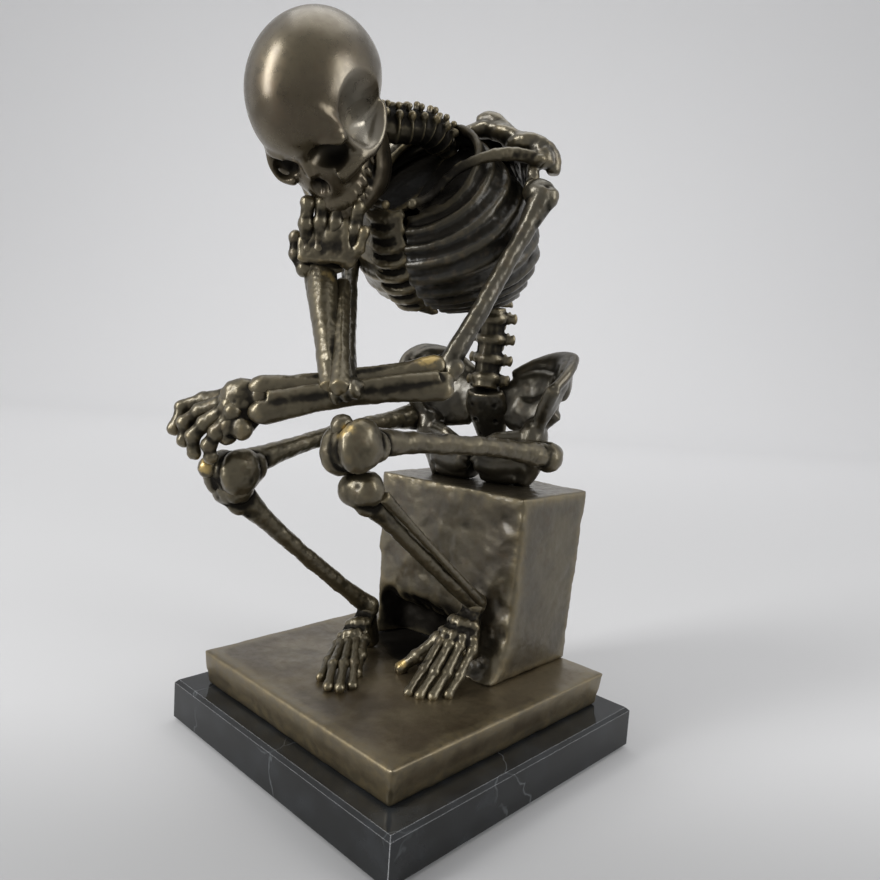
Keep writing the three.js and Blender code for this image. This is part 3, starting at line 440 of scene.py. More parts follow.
def press(piece, centre, sizes, depth, direction, softness=1.0):
    """Pushes the skull's surface in a round patch by depth along direction; softness 1 leaves a crisp rim."""
    points = points_of(piece.data)
    local = (points / MM - np.array(centre)) @ np.array([list(axis) for axis in SKULL.axes]).T
    reach = ((local / np.array(sizes)) ** 2).sum(axis=1)
    push = np.clip(1 - reach, 0, 1) ** softness
    points += np.outer(push * depth * MM, np.array(direction))
    piece.data.vertices.foreach_set("co", points.ravel())
    piece.data.update()


def mark_wear_and_shade(piece, full):
    """Stores how far each point stands out of the surface around it, as a share of full, and the rubbed
    spots, the painted-shade spots and the painted-reflection spots.
    """
    mesh = piece.data
    points = points_of(mesh)
    count = len(points)
    pairs = np.empty(len(mesh.edges) * 2, dtype=np.int64)
    mesh.edges.foreach_get("vertices", pairs)
    a, b = pairs.reshape(-1, 2).T
    degree = np.maximum(np.bincount(a, minlength=count) + np.bincount(b, minlength=count), 1)
    soft = points.copy()
    for _ in range(rounds_of(WEAR_ROUNDS)):
        for k in range(3):
            column = soft[:, k]
            total = np.bincount(a, column[b], count) + np.bincount(b, column[a], count)
            soft[:, k] = total / degree
    normals = np.empty(count * 3)
    mesh.vertices.foreach_get("normal", normals)
    normals = normals.reshape(-1, 3)
    height = ((points - soft) * normals).sum(axis=1) / MM
    height -= np.median(height)
    wear = mesh.attributes.new("wear", "FLOAT", "POINT")
    wear.data.foreach_set("value", np.clip(height / full, -1, 1))
    for name, spots in (("rub", GOLD_SPOTS), ("shade", PAINTED_SHADE_SPOTS), ("pale", PAINTED_REFLECTION_SPOTS)):
        total = np.zeros(count)
        for centre, radius, strength in spots:
            away = np.linalg.norm(points / MM - np.array(centre), axis=1) / radius
            total += strength * np.exp(-away ** 2)
        spot = mesh.attributes.new(name, "FLOAT", "POINT")
        spot.data.foreach_set("value", np.clip(total, 0, 1))


def finish_cast(piece, material, *replaced, full=0.8):
    """The piece gets its wear, its painted shade and painted reflection spots, and its bronze, and stands for
    its CAD nodes.
    """
    mark_wear_and_shade(piece, full)
    piece.data.materials.clear()
    piece.data.materials.append(material)
    for polygon in piece.data.polygons:
        polygon.use_smooth = True
    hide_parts(*replaced)
    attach(piece, "root")


def cast_node(name, bm, finish="bone", full=0.8, **form):
    """The mesh cast as a piece with one of the bronze finishes, in place of its CAD node."""
    finish_cast(cast(f"{name}_cast", bm, **form), finish_of(finish), name, full=full)


# Materials

COLOUR = "NodeSocketColor"
VALUE = "NodeSocketFloat"
# Colours within the patina that no setting holds
PALE_CLOUD = (0.15, 0.13, 0.082)
WARM_CLOUD = (0.08, 0.054, 0.03)
DARK_PATCH = (0.05, 0.034, 0.017)
# Colour of the painted reflection on the skull's temple scoop
PAINTED_REFLECTION = (0.3, 0.285, 0.25)
RAISED_EDGE = (0.19, 0.163, 0.105)
# Tints of a reflection at a low angle: on plain metal, and darkened in the hollows and the undercuts, which
# is painted shade in the reflection
FULL_RIM = (1, 1, 1)
SHADED_HOLLOW_RIM = (0.04, 0.04, 0.04)
# A painted highlight along the plinth's edges
PAINTED_EDGE_HIGHLIGHT = (0.55, 0.56, 0.57)


def link(tree, source, target):
    tree.links.new(source, target)


def feed(tree, value, socket):
    """Links another node's output to the socket, or sets a number, a vector or a colour on it."""
    if isinstance(value, bpy.types.NodeSocket):
        link(tree, value, socket)
    elif socket.type == "RGBA":
        socket.default_value = (*value, 1.0)
    else:
        socket.default_value = value


def set_inputs(node, **values):
    """Sets a node's inputs by name, with underscores for the spaces."""
    for name, value in values.items():
        node.inputs[name.replace("_", " ")].default_value = value


def new_node(tree, kind, **values):
    node = tree.nodes.new(kind)
    for name, value in values.items():
        setattr(node, name, value)
    return node


def object_place(tree):
    return new_node(tree, "ShaderNodeTexCoord").outputs["Object"]


def noise(tree, coordinates, scale, detail=4.0, roughness=0.55):
    node = new_node(tree, "ShaderNodeTexNoise")
    set_inputs(node, Scale=scale, Detail=detail, Roughness=roughness)
    link(tree, coordinates, node.inputs["Vector"])
    return node.outputs["Fac"]


def ramp(tree, value, low, high, start=0.0, end=1.0):
    """A value remapped from low..high to start..end, smoothly and clamped."""
    node = new_node(tree, "ShaderNodeMapRange", interpolation_type="SMOOTHSTEP")
    set_inputs(node, From_Min=low, From_Max=high, To_Min=start, To_Max=end)
    link(tree, value, node.inputs["Value"])
    return node.outputs["Result"]


def math_node(tree, operation, first, second):
    node = new_node(tree, "ShaderNodeMath", operation=operation)
    feed(tree, first, node.inputs[0])
    feed(tree, second, node.inputs[1])
    return node.outputs[0]


def dot(tree, first, second):
    node = new_node(tree, "ShaderNodeVectorMath", operation="DOT_PRODUCT")
    feed(tree, first, node.inputs[0])
    feed(tree, second, node.inputs[1])
    return node.outputs["Value"]


def mix_colour(tree, factor, first, second):
    node = new_node(tree, "ShaderNodeMix", data_type="RGBA")
    for value, number in ((factor, 0), (first, 6), (second, 7)):
        feed(tree, value, node.inputs[number])
    return node.outputs[2]


def effect_group(name, inputs, outputs):
    """An empty node group with named inputs and outputs, and its two end nodes."""
    group = bpy.data.node_groups.new(name, "ShaderNodeTree")
    for label, kind, default in inputs:
        socket = group.interface.new_socket(label, in_out="INPUT", socket_type=kind)
        socket.default_value = default
    for label, kind in outputs:
        group.interface.new_socket(label, in_out="OUTPUT", socket_type=kind)
    return group, group.nodes.new("NodeGroupInput"), group.nodes.new("NodeGroupOutput")


def patina_group():
    """Brown patina: dark in the hollows, with painted shade in the undercuts and a painted reflection on the
    skull's temple, clouded, and rubbed to bare metal on the high points.
    """
    settings = bpy.context.scene.statue
    group, entry, leave = effect_group(
        "Patina",
        [
            ("Brown", COLOUR, (*settings.patina, 1)),
            ("Dark", COLOUR, (*settings.recess_and_shade, 1)),
            ("Bare", COLOUR, (*settings.rubbed, 1)),
            ("Edge Wear", VALUE, 0.5),
            ("Gloss", VALUE, 0.3),
            ("Grain", VALUE, 0.5),
            ("Light", VALUE, 1.0),
            ("Mottle", VALUE, 0.0),
        ],
        [("Color", COLOUR), ("Roughness", VALUE), ("Height", VALUE), ("Rim", COLOUR), ("Polish", VALUE)],
    )

    def given(name):
        return entry.outputs[name]

    def stored(name):
        return new_node(group, "ShaderNodeAttribute", attribute_name=name).outputs["Fac"]

    def mask(value, low, high, start=0.0, end=1.0):
        return ramp(group, value, low, high, start, end)

    def blend(factor, first, second):
        return mix_colour(group, factor, first, second)

    def times(first, second):
        return math_node(group, "MULTIPLY", first, second)

    def plus(first, second):
        return math_node(group, "ADD", first, second)

    def larger(first, second):
        return math_node(group, "MAXIMUM", first, second)

    place = object_place(group)
    wear, rub, shade, pale = (stored(name) for name in ("wear", "rub", "shade", "pale"))
    broad = noise(group, place, 45)
    middle = noise(group, place, 240)
    fine = noise(group, place, 1400, detail=6)
    patches = noise(group, place, 26, detail=5, roughness=0.62)

    # The brown with its clouds and patches, and a painted reflection in the pale places
    lighter = blend(times(given("Light"), 0.4), given("Brown"), PALE_CLOUD)
    colour = blend(mask(broad, 0.35, 0.68), given("Brown"), lighter)
    colour = blend(mask(middle, 0.52, 0.7, 0, 0.35), colour, WARM_CLOUD)
    colour = blend(times(mask(patches, 0.42, 0.62), given("Mottle")), colour, DARK_PATCH)
    colour = blend(mask(pale, 0.1, 0.9, 0.0, 0.8), colour, PAINTED_REFLECTION)

    # Dark patina in the hollows and painted shade in the undercuts, both left out under the painted
    # reflection
    hollow = mask(plus(wear, times(middle, 0.25)), 0.1, -0.5)
    hollow = times(larger(hollow, mask(shade, 0.1, 0.8)), mask(pale, 0.2, 0.7, 1.0, 0.0))
    colour = blend(hollow, colour, given("Dark"))

    # Raised edges, and bare metal where they are worn or rubbed
    raised = times(mask(wear, 0.05, 0.6), given("Light"))
    colour = blend(times(raised, 0.5), colour, RAISED_EDGE)
    edge = times(mask(wear, 0.15, 0.75), given("Edge Wear"))
    rubbed = times(rub, mask(middle, 0.3, 0.62, 0.5, 1.3))
    bare = larger(times(edge, mask(middle, 0.42, 0.6)), mask(rubbed, 0.3, 0.85))
    colour = blend(bare, colour, given("Bare"))

    rough = plus(given("Gloss"), mask(middle, 0.3, 0.7, -0.05, 0.08))
    rough = plus(rough, times(hollow, 0.22))
    height = times(plus(times(middle, 0.6), times(fine, 0.4)), given("Grain"))
    link(group, colour, leave.inputs["Color"])
    link(group, rough, leave.inputs["Roughness"])
    link(group, height, leave.inputs["Height"])
    # Reflection tint and coat weight, lowered in the hollows and the undercuts: painted shade in the
    # reflection
    link(group, blend(hollow, FULL_RIM, SHADED_HOLLOW_RIM), leave.inputs["Rim"])
    link(group, mask(hollow, 0.0, 0.8, 0.6, 0.03), leave.inputs["Polish"])
    return group


def new_material(name):
    material = bpy.data.materials.new(name)
    material.use_nodes = True
    tree = material.node_tree
    return material, tree, tree.nodes["Principled BSDF"]


def bump(tree, height, distance, shader):
    node = new_node(tree, "ShaderNodeBump")
    set_inputs(node, Distance=distance * MM, Strength=1.0)
    link(tree, height, node.inputs["Height"])
    link(tree, node.outputs["Normal"], shader.inputs["Normal"])


def bronze(group, name, edge_wear, gloss, grain, depth, brown=None, light=1.0, mottle=0.0):
    """Bronze under its patina; light scales the pale clouds and raised edges, mottle the dark patches."""
    material, tree, shader = new_material(name)
    patina = new_node(tree, "ShaderNodeGroup", node_tree=group)
    set_inputs(patina, Edge_Wear=edge_wear, Gloss=gloss, Grain=grain, Light=light, Mottle=mottle)
    if brown:
        set_inputs(patina, Brown=(*brown, 1))
    set_inputs(shader, Metallic=0.85, Coat_Roughness=0.26, Coat_Tint=(1.0, 0.96, 0.87, 1.0))
    link(tree, patina.outputs["Color"], shader.inputs["Base Color"])
    # A dark base colour alone still mirrors the pale room at low angles, so the hollows and the undercuts get
    # a dark tint and a thinner coat too: painted shade in the reflection
    link(tree, patina.outputs["Rim"], shader.inputs["Specular Tint"])
    link(tree, patina.outputs["Polish"], shader.inputs["Coat Weight"])
    link(tree, patina.outputs["Roughness"], shader.inputs["Roughness"])
    bump(tree, patina.outputs["Height"], depth, shader)
    return material


def marble_material():
    """Polished black stone with thin, broken, pale veins, and a painted highlight along its cut edges."""
    settings = bpy.context.scene.statue
    material, tree, shader = new_material("Black marble")
    place = object_place(tree)
    bend = new_node(tree, "ShaderNodeTexNoise")
    set_inputs(bend, Scale=14, Detail=5)
    link(tree, place, bend.inputs["Vector"])
    moved = new_node(tree, "ShaderNodeVectorMath", operation="MULTIPLY_ADD")
    for value, socket in zip((bend.outputs["Color"], (0.07, 0.07, 0.07), place), moved.inputs):
        feed(tree, value, socket)
    cells = new_node(tree, "ShaderNodeTexVoronoi", feature="DISTANCE_TO_EDGE")
    set_inputs(cells, Scale=13)
    link(tree, moved.outputs["Vector"], cells.inputs["Vector"])
    line = ramp(tree, cells.outputs["Distance"], 0.007, 0.0)
    shown = ramp(tree, noise(tree, place, 22), 0.47, 0.62)
    vein = math_node(tree, "MULTIPLY", line, math_node(tree, "MULTIPLY", shown, 0.55))
    cloudy = ramp(tree, noise(tree, place, 60), 0.4, 0.75)
    cloud = mix_colour(tree, cloudy, settings.marble, (0.022, 0.024, 0.026))
    veined = mix_colour(tree, vein, cloud, settings.vein)
    # The bevel's normal only finds the edges for the painted highlight; the surface keeps its flat normal
    rounded = new_node(tree, "ShaderNodeBevel", samples=6)
    set_inputs(rounded, Radius=0.8 * MM)
    flat = new_node(tree, "ShaderNodeNewGeometry").outputs["True Normal"]
    edge = ramp(tree, dot(tree, rounded.outputs["Normal"], flat), 0.97, 0.8, 0.0, 0.8)
    link(tree, mix_colour(tree, edge, veined, PAINTED_EDGE_HIGHLIGHT), shader.inputs["Base Color"])
    link(tree, ramp(tree, noise(tree, place, 300), 0.3, 0.7, 0.06, 0.13), shader.inputs["Roughness"])
    set_inputs(shader, Specular_IOR_Level=0.28)
    return material


def felt_material():
    settings = bpy.context.scene.statue
    material, tree, shader = new_material("Green felt")
    fuzz = noise(tree, object_place(tree), 900, detail=6)
    light = [1.8 * value for value in settings.felt]
    colour = mix_colour(tree, ramp(tree, fuzz, 0.35, 0.7), settings.felt, light)
    link(tree, colour, shader.inputs["Base Color"])
    set_inputs(shader, Roughness=0.95, Sheen_Weight=0.4)
    bump(tree, fuzz, 0.2, shader)
    return material


def steel_material():
    material, tree, shader = new_material("Plated steel")
    place = object_place(tree)
    stain = noise(tree, place, 500)
    tone = mix_colour(tree, ramp(tree, stain, 0.4, 0.7), (0.52, 0.53, 0.55), (0.4, 0.41, 0.44))
    link(tree, tone, shader.inputs["Base Color"])
    link(tree, ramp(tree, stain, 0.3, 0.7, 0.25, 0.42), shader.inputs["Roughness"])
    set_inputs(shader, Metallic=1.0)
    bump(tree, noise(tree, place, 2500), 0.01, shader)
    return material


FINISHES = {
    "skull": dict(
        name="Bronze smooth", edge_wear=0.1, gloss=0.3, grain=0.08, depth=0.03, brown=(0.072, 0.056, 0.034)),
    "bone": dict(name="Bronze bone", edge_wear=0.16, gloss=0.36, grain=0.6, depth=0.1),
    "dark": dict(
        name="Bronze dark bone", edge_wear=0.06, gloss=0.34, grain=0.5, depth=0.1,
        brown=(0.046, 0.042, 0.033), light=0.7),
    # A near-black copy of the bronze for the left rib cage: painted shade for the side of the chest in shadow
    "chest": dict(
        name="Bronze shaded chest", edge_wear=0.03, gloss=0.44, grain=0.5, depth=0.1,
        brown=(0.010, 0.0098, 0.0085), light=0.25),
    "rock": dict(
        name="Bronze rock", edge_wear=0.08, gloss=0.42, grain=1.0, depth=0.3,
        brown=(0.076, 0.067, 0.051), mottle=0.25),
    "plate": dict(
        name="Bronze plate", edge_wear=0.1, gloss=0.42, grain=0.8, depth=0.16,
        brown=(0.148, 0.12, 0.076), mottle=0.75),
}
finishes = {}


def finish_of(name):
    """One of the bronze finishes, all made the first time one is asked for."""
    if not finishes:
        group = patina_group()
        finishes.update({key: bronze(group, **values) for key, values in FINISHES.items()})
    return finishes[name]


# Skull and lower jaw

# Half sizes of the vault, and what is taken off as shares of them: low at the back, and at the temples
VAULT = (26.5, 34, 29)
NAPE_SHARE = 0.1
TEMPLE_SHARE = 0.09
TEMPLE_FRONT, TEMPLE_RISE = 0.55, -0.15
TEMPLE_LENGTH, TEMPLE_HEIGHT = 0.3, 0.45
LOWER_HEIGHT = 0.85


def skull_point(unit):
    """A point of the vault from a point of the unit ball."""
    side, front, rise = unit
    nape = 1 - NAPE_SHARE * max(0, -rise) * (1 - max(0, front))
    away = ((front - TEMPLE_FRONT) / TEMPLE_LENGTH) ** 2 + ((rise - TEMPLE_RISE) / TEMPLE_HEIGHT) ** 2
    temple = 1 - TEMPLE_SHARE * math.exp(-away) * side ** 2
    lower = LOWER_HEIGHT if rise < 0 else 1
    return SKULL.at(side * VAULT[0] * nape * temple, front * VAULT[1] * nape, rise * VAULT[2] * lower)


# The face sits a little to the figure's left of the vault's middle
FACE_SHIFT = 4
EYES = (
    ((13.5, 31, -11), (8.8, 12, 6.6)),
    ((-7.8, 32, -13.4), (6.1, 9.5, 5.2)),
)
# Tubes of the face, as rows of side, front, rise, half width and half depth.
# The arches run from the cheekbone back to the ear; the left one is the lower rim of the temple's scoop
LEFT_ARCH = [
    (12.5, 26, -20, 5, 5),
    (18, 22.5, -18.5, 3.8, 4),
    (21.6, 18.5, -18, 2.8, 3),
    (23.4, 13, -19, 2.4, 2.8),
    (24.4, 6, -18, 2.2, 2.7),
    (24.8, 0, -14.5, 2, 2.5),
    (24, -5, -10, 1.8, 2.2),
]
RIGHT_ARCH = [
    (-14, 27, -14.5, 1.8, 2.2),
    (-17, 21, -13.5, 2, 2.6),
    (-18.5, 16, -12, 2.2, 2.8),
    (-19.5, 11, -11, 2, 2.6),
    (-20, 2, -9, 1.8, 2.4),
]
FACE = [
    (0.5, 16, -12, 19, 13),
    (2.5, 17.5, -22, 16, 12.5),
    (FACE_SHIFT, 17, -29, 13, 12.5),
    (FACE_SHIFT, 17, -35, 11.5, 12),
]
# From the brow down the front of the left temple
TEMPLE_RIDGE = [
    (14, 24, 9, 2.6, 3.4),
    (17.4, 23, 2, 2.8, 3),
    (19.2, 21.2, -6, 2.8, 2.8),
    (20.6, 19, -13, 2.6, 2.8),
    (22, 16, -18, 2.4, 2.6),
]
# The upper and the outer rim of the right eye socket
RIGHT_BROW = [(-14, 25, -6.5, 2.4, 2.6), (-10, 28.5, -6.5, 2.8, 2.8), (-4, 30.5, -8, 2.8, 2.8)]
RIGHT_RIM = [
    (-13.5, 24, -5, 2.2, 2.2),
    (-14.3, 27, -9.5, 1.9, 1.9),
    (-13.9, 29, -13.5, 1.8, 1.8),
    (-11.4, 30, -18, 2.1, 2.1),
    (-6, 29.3, -20.5, 2.4, 2.4),
]
NOSE_BRIDGE = [(1.5, 26, -9, 3.4, 3), (2.5, 29, -14, 2.6, 2.6), (3.5, 30.5, -18, 2.2, 2)]
TEETH = 17
TEETH_HALF_WIDTH = 14.6
TEETH_BACK = 8
TEETH_REACH = 21.5


def teeth(bm, back, front, inset):
    """A bow of teeth round the jaw, from the height of the back teeth to that of the front ones."""
    for i in range(TEETH):
        angle = math.pi * (0.01 + 0.98 * i / (TEETH - 1))
        ahead = math.sin(angle) ** 0.8
        place = SKULL.at(
            FACE_SHIFT + (TEETH_HALF_WIDTH - inset) * math.cos(angle),
            TEETH_BACK + (TEETH_REACH - inset) * ahead,
            back + (front - back) * ahead,
        )
        egg(bm, place, (1.8, 1.45, 3.6), SKULL.axes, steps=2)


def cranium():
    bm = bmesh.new()
    for vert in bmesh.ops.create_icosphere(bm, subdivisions=6, radius=1.0)["verts"]:
        vert.co = skull_point(vert.co)
    body_tube(bm, SKULL, FACE, sides=24)
    middle = FACE_SHIFT * 0.6
    for side, arch in ((1, LEFT_ARCH), (-1, RIGHT_ARCH)):
        egg(bm, SKULL.at(middle + side * 9.5, 25, -5), (9.5 + side, 5, 4.4), SKULL.axes)
        egg(bm, SKULL.at(middle + side * 13, 12, -16), (8, 13, 9), SKULL.axes)
        body_tube(bm, SKULL, arch)
    body_tube(bm, SKULL, [(out - 3.5, front, rise, 3.4, 3.2) for out, front, rise, *_ in LEFT_ARCH[1:]])
    body_tube(bm, SKULL, TEMPLE_RIDGE)
    egg(bm, SKULL.at(14.5, 22, -1), (6, 6.2, 6), SKULL.axes)
    egg(bm, SKULL.at(-13.5, 20.5, -19), (6, 6, 7), SKULL.axes)
    body_tube(bm, SKULL, RIGHT_BROW)
    body_tube(bm, SKULL, RIGHT_RIM)
    egg(bm, SKULL.at(-12.5, 20.5, -12), (6, 6.5, 7.5), SKULL.axes)
    body_tube(bm, SKULL, NOSE_BRIDGE)
    teeth(bm, -27, -34.5, 0)
    cuts = bmesh.new()
    for place, sizes in EYES:
        egg(cuts, SKULL.at(*place), sizes, SKULL.axes, steps=4)
    for side in (-1, 1):
        egg(cuts, SKULL.at(FACE_SHIFT + side * 1.7, 33, -24), (2.5, 7, 4.4), SKULL.axes)
    egg(cuts, SKULL.at(FACE_SHIFT, 34, -21.5), (3.1, 6.5, 4), SKULL.axes)
    piece = cast("cranium_cast", bm, grain=0.5 * MM, smooth=14, cuts=cuts)
    press(piece, SKULL.at(-26, 3, 6), (18, 17, 20), 3.4, SKULL.side, softness=2.4)
    press(piece, SKULL.at(26, 9.5, -4), (17, 14, 15), 4.6, -SKULL.side, softness=1.25)
    press(piece, SKULL.at(26, 9.5, -9.5), (14, 10, 8.5), 2.2, -SKULL.side)
    finish_cast(piece, finish_of("skull"), "cranium", full=3.2)


def mandible():
    bm = bmesh.new()
    shift = FACE_SHIFT * 0.5
    for side in (-1, 1):
        body_tube(bm, SKULL, [
            (side * 22, 1, -19, 2, 4.2),
            (side * 21, 3, -28, 2.2, 6.4),
            (shift * 0.4 + side * 19.5, 8, -35, 2.5, 6.4),
            (shift + side * 15.5, 16, -38, 2.6, 4.6),
            (shift * 1.6 + side * 8.5, 25, -40, 2.8, 3.8),
            (shift * 2, 28.5, -40.5, 3.2, 4),
        ])
        egg(bm, SKULL.at(shift * 0.8 + side * 14.6, 9, -29.5), (2.4, 9, 8), SKULL.axes)
    teeth(bm, -31.5, -38.2, 0.4)
    cast_node("mandible", bm, "skull")


# Spine


def curve_through(points, steps=12):
    """Even steps along a smooth curve through the points, as (place, direction) for a share of its length."""
    fine = [ring[0] for ring in flowing([(point, 0, 0) for point in points], steps)]
    lengths = [0.0]
    for before, after in zip(fine, fine[1:]):
        lengths.append(lengths[-1] + (after - before).length)

    def at(share):
        wanted = share * lengths[-1]
        for i in range(1, len(fine)):
            if lengths[i] >= wanted:
                break
        part = (wanted - lengths[i - 1]) / max(lengths[i] - lengths[i - 1], 1e-6)
        return fine[i - 1].lerp(fine[i], part), (fine[i] - fine[i - 1]).normalized()

    return at, lengths[-1]


WAIST = over_seat(2.2, 44.8, 89.5)
LUMBAR_PATH = [HIPS.at(0, 2, 14), over_seat(0, 46, 60), over_seat(1, 46, 74), WAIST]
THORACIC_PATH = [
    WAIST,
    CHEST.at(0, -17, -32),
    CHEST.at(0, -27, -16),
    CHEST.at(0, -30, 4),
    CHEST.at(0, -27.5, 24),
    CHEST.at(0, -22.5, 38),
]
NECK_PATH = [CHEST.at(0, -22, 40), over_seat(4, -14, 162.6), over_seat(-1, -28, 160.6), SKULL.at(0, -13, -21)]


def vertebrae(name, path, count, radius, spine_reach, side_reach, back, core=0.7, body=0.4):
    """A column of bodies with their spines; body is a body's half height as a share of the pitch."""
    bm = bmesh.new()
    at, length = curve_through(path)
    pitch = length / count
    tube(bm, [(at(i / 20)[0], radius * core, radius * core) for i in range(21)], CHEST.side)
    for i in range(count):
        centre, run = at((i + 0.5) / count)
        rear = (back - run * back.dot(run)).normalized()
        across = run.cross(rear)
        body_axes = (across, rear, run)
        egg(bm, centre, (radius * 1.05, radius * 0.92, pitch * body), body_axes)
        tip = centre + rear * spine_reach - run * (0.4 * pitch)
        middle = centre.lerp(tip, 0.6)
        tube(bm, [(centre, pitch * 0.38, 2.4), (middle, pitch * 0.36, 1.9), (tip, pitch * 0.3, 1.5)], run)
        egg(bm, tip, (1.7, 1.5, pitch * 0.36), body_axes, steps=2)
        for side in (-1, 1):
            lump = centre + rear * (radius * 0.8) + across * (side * radius * 0.8)
            egg(bm, lump, (1.7, 1.7, pitch * 0.36), body_axes, steps=2)
            if side_reach:
                end = centre + across * (side * side_reach) + rear * (side_reach * 0.25)
                waist = centre.lerp(end, 0.7)
                tube(bm, [(centre, pitch * 0.38, 3.4), (waist, pitch * 0.3, 2.4), (end, 2, 1.9)], run)
                egg(bm, end, (1.5, 1.5, pitch * 0.3), body_axes, steps=2)
    cast_node(name, bm, smooth=3, lumps=((2.2, 0.2),))


def sacrum():
    bm = bmesh.new()
    body_tube(bm, HIPS, [
        (0, 1, 13, 10, 5.5),
        (0, -3, 4, 12, 5),
        (0, -10, -8, 9, 4),
        (0, -13, -20, 5, 3),
        (0, -10, -28, 2, 1.8),
    ], sides=20)
    for front, rise in ((-8, 8), (-12, 1), (-15.5, -7), (-17, -14)):
        egg(bm, HIPS.at(0, front, rise), (1.6, 2.6, 2.2), HIPS.axes, steps=2)
    cuts = bmesh.new()
    for side in (-1, 1):
        for front, rise, out in ((4, 5, 6.5), (-2, -3, 5.5), (-6, -11, 4.5)):
            egg(cuts, HIPS.at(side * out, front, rise), (1.4, 3, 1.6), HIPS.axes, steps=2)
    cast_node("sacrum", bm, "dark", lumps=((6, 0.35), (2.2, 0.18)), cuts=cuts)


# Rib cage

CHEST_HALF_WIDTH = 43
CHEST_FRONT = 39
CHEST_BACK = 31
RIB_COUNT = 9
RIB_STEPS = 36
# Rise, and shares of the half width, the front and the back, from the lowest section up
CHEST_SECTIONS = [
    (-30, 0.62, 0.58, 0.5),
    (-18, 0.86, 0.79, 0.76),
    (-5, 1, 0.95, 0.94),
    (12, 1, 1, 1),
    (26, 0.82, 0.86, 0.95),
    (36, 0.6, 0.62, 0.92),
]


def chest_section(height):
    """Rise, width, front and back of the cage at a share of its height."""
    place = min(max(height, 0), 1) * (len(CHEST_SECTIONS) - 1)
    i = min(int(place), len(CHEST_SECTIONS) - 2)
    around = neighbours(CHEST_SECTIONS, i)
    weights = curve_weights(place - i)
    return [sum(row[k] * w for row, w in zip(around, weights)) for k in range(4)]


# How far round from the front the left and the right half begin and both end, as shares of half a turn
CHEST_STARTS = {1: 0.004, -1: 0.08}
CHEST_END = 0.972
# How far the ribs drop from the middle to the front: at the lowest rib, and how much more at the highest
LOW_RIB_DROP = -9
RIB_DROP_GAIN = 16


def chest_point(side, around, height, out):
    """A point of the cage from its share round one half and its share of the height, moved outwards."""
    start = CHEST_STARTS[side]
    angle = math.pi * (start + (CHEST_END - start) * around)
    ahead = math.cos(angle)
    rise, width, front, back = chest_section(height)
    reach = CHEST_FRONT * front if ahead > 0 else CHEST_BACK * back
    drop = (LOW_RIB_DROP + RIB_DROP_GAIN * height) * ahead
    return CHEST.at(
        side * (CHEST_HALF_WIDTH * width + out) * max(math.sin(angle), 0) ** 0.9,
        (reach + out) * math.copysign(abs(ahead) ** 0.95, ahead),
        rise - drop,
    )


# Where the rib cartilages cross the breastbone: front and rise
CARTILAGES = [(26.5, 34), (29.5, 28.5), (32.5, 22.5), (35, 16.5), (36.5, 10), (37, 3.5), (35.5, -3), (33, -9)]


def rib_half(name, side, rib_width, groove, finish):
    """Half the cage: a shell sunk by groove, a raised band for each rib, and half a sheet across the inlet,
    which is painted near black as painted shade.
    """
    bm = bmesh.new()
    grid = bmesh.ops.create_grid(bm, x_segments=48, y_segments=48, size=0.5)["verts"]
    for vert in grid:
        vert.co = chest_point(side, vert.co.x + 0.5, vert.co.y + 0.5, -groove)
    bmesh.ops.recalc_face_normals(bm, faces=bm.faces)
    bmesh.ops.solidify(bm, geom=bm.faces[:], thickness=1.3)
    for i in range(RIB_COUNT + 1):
        height = i / RIB_COUNT
        rings = []
        for step in range(RIB_STEPS + 1):
            around = step / RIB_STEPS
            near_spine = max(0, around - 0.8) * 2
            width = rib_width - 0.5 * near_spine
            rings.append((chest_point(side, around, height, -0.9), width, 1.8))
        tube(bm, rings, CHEST.rise, sides=12)
    # Half a sheet across the inlet, painted near black by the shade spots: painted shade where the inlet
    # shows only shadow
    egg(bm, CHEST.at(side * 11, -4, 32), (15, 27, 1.8), CHEST.axes)
    cast_node(name, bm, finish, full=0.9, grain=0.65 * MM, smooth=5, lumps=((9, 0.7), (3, 0.3)))


def sternum():
    """A sunk breastbone crossed by the ladder of rib cartilages."""
    bm = bmesh.new()
    body_tube(bm, CHEST, [
        (-6, 24.5, 36, 8, 2.6),
        (-8, 30, 28, 8.5, 2.4),
        (-8.5, 35.5, 12, 9, 2.2),
        (-7, 35.5, -2, 8, 2),
        (-4, 32, -11, 5.5, 2),
        (-1, 28, -18, 3, 1.4),
    ], sides=20)
    sag = CHEST.front * -1.5
    for front, rise in CARTILAGES:
        tube(bm, flowing([
            (CHEST.at(-17, front, rise + 1.5) + sag, 2.0, 2.0),
            (CHEST.at(-12, front + 1, rise), 2.4, 2.4),
            (CHEST.at(-5, front + 1, rise - 0.5), 2.4, 2.4),
            (CHEST.at(1, front, rise + 0.5) + sag, 2.0, 2.0),
        ]), CHEST.rise)
    cast_node("sternum", bm, lumps=((4, 0.5), (2, 0.2)))


# Shoulders

LEFT_CLAVICLE = [
    CHEST.at(7, 25, 38.5),
    over_seat(18, -20.6, 130.8),
    over_seat(24, -14.2, 140.6),
    over_seat(29, -9.5, 145.5),
    over_seat(35, -3.1, 149.1),
    over_seat(41, 6.1, 151.2),
    over_seat(47, 14.6, 149.8),
]
RIGHT_CLAVICLE = [
    CHEST.at(-7, 25, 38.5),
    over_seat(-12, -36, 130),
    over_seat(-24, -30, 130),
    over_seat(-33, -20, 131),
]
LEFT_RIDGE = [(23, -35, 26), (33, -27, 34), (42, -27, 32.5), (49.5, -25.5, 26), (50.5, -20, 21)]
RIGHT_RIDGE = [(-23, -33, 24), (-31, -22, 30), (-38, -11, 28), (-44, -1, 23), (-45, 7, 20)]
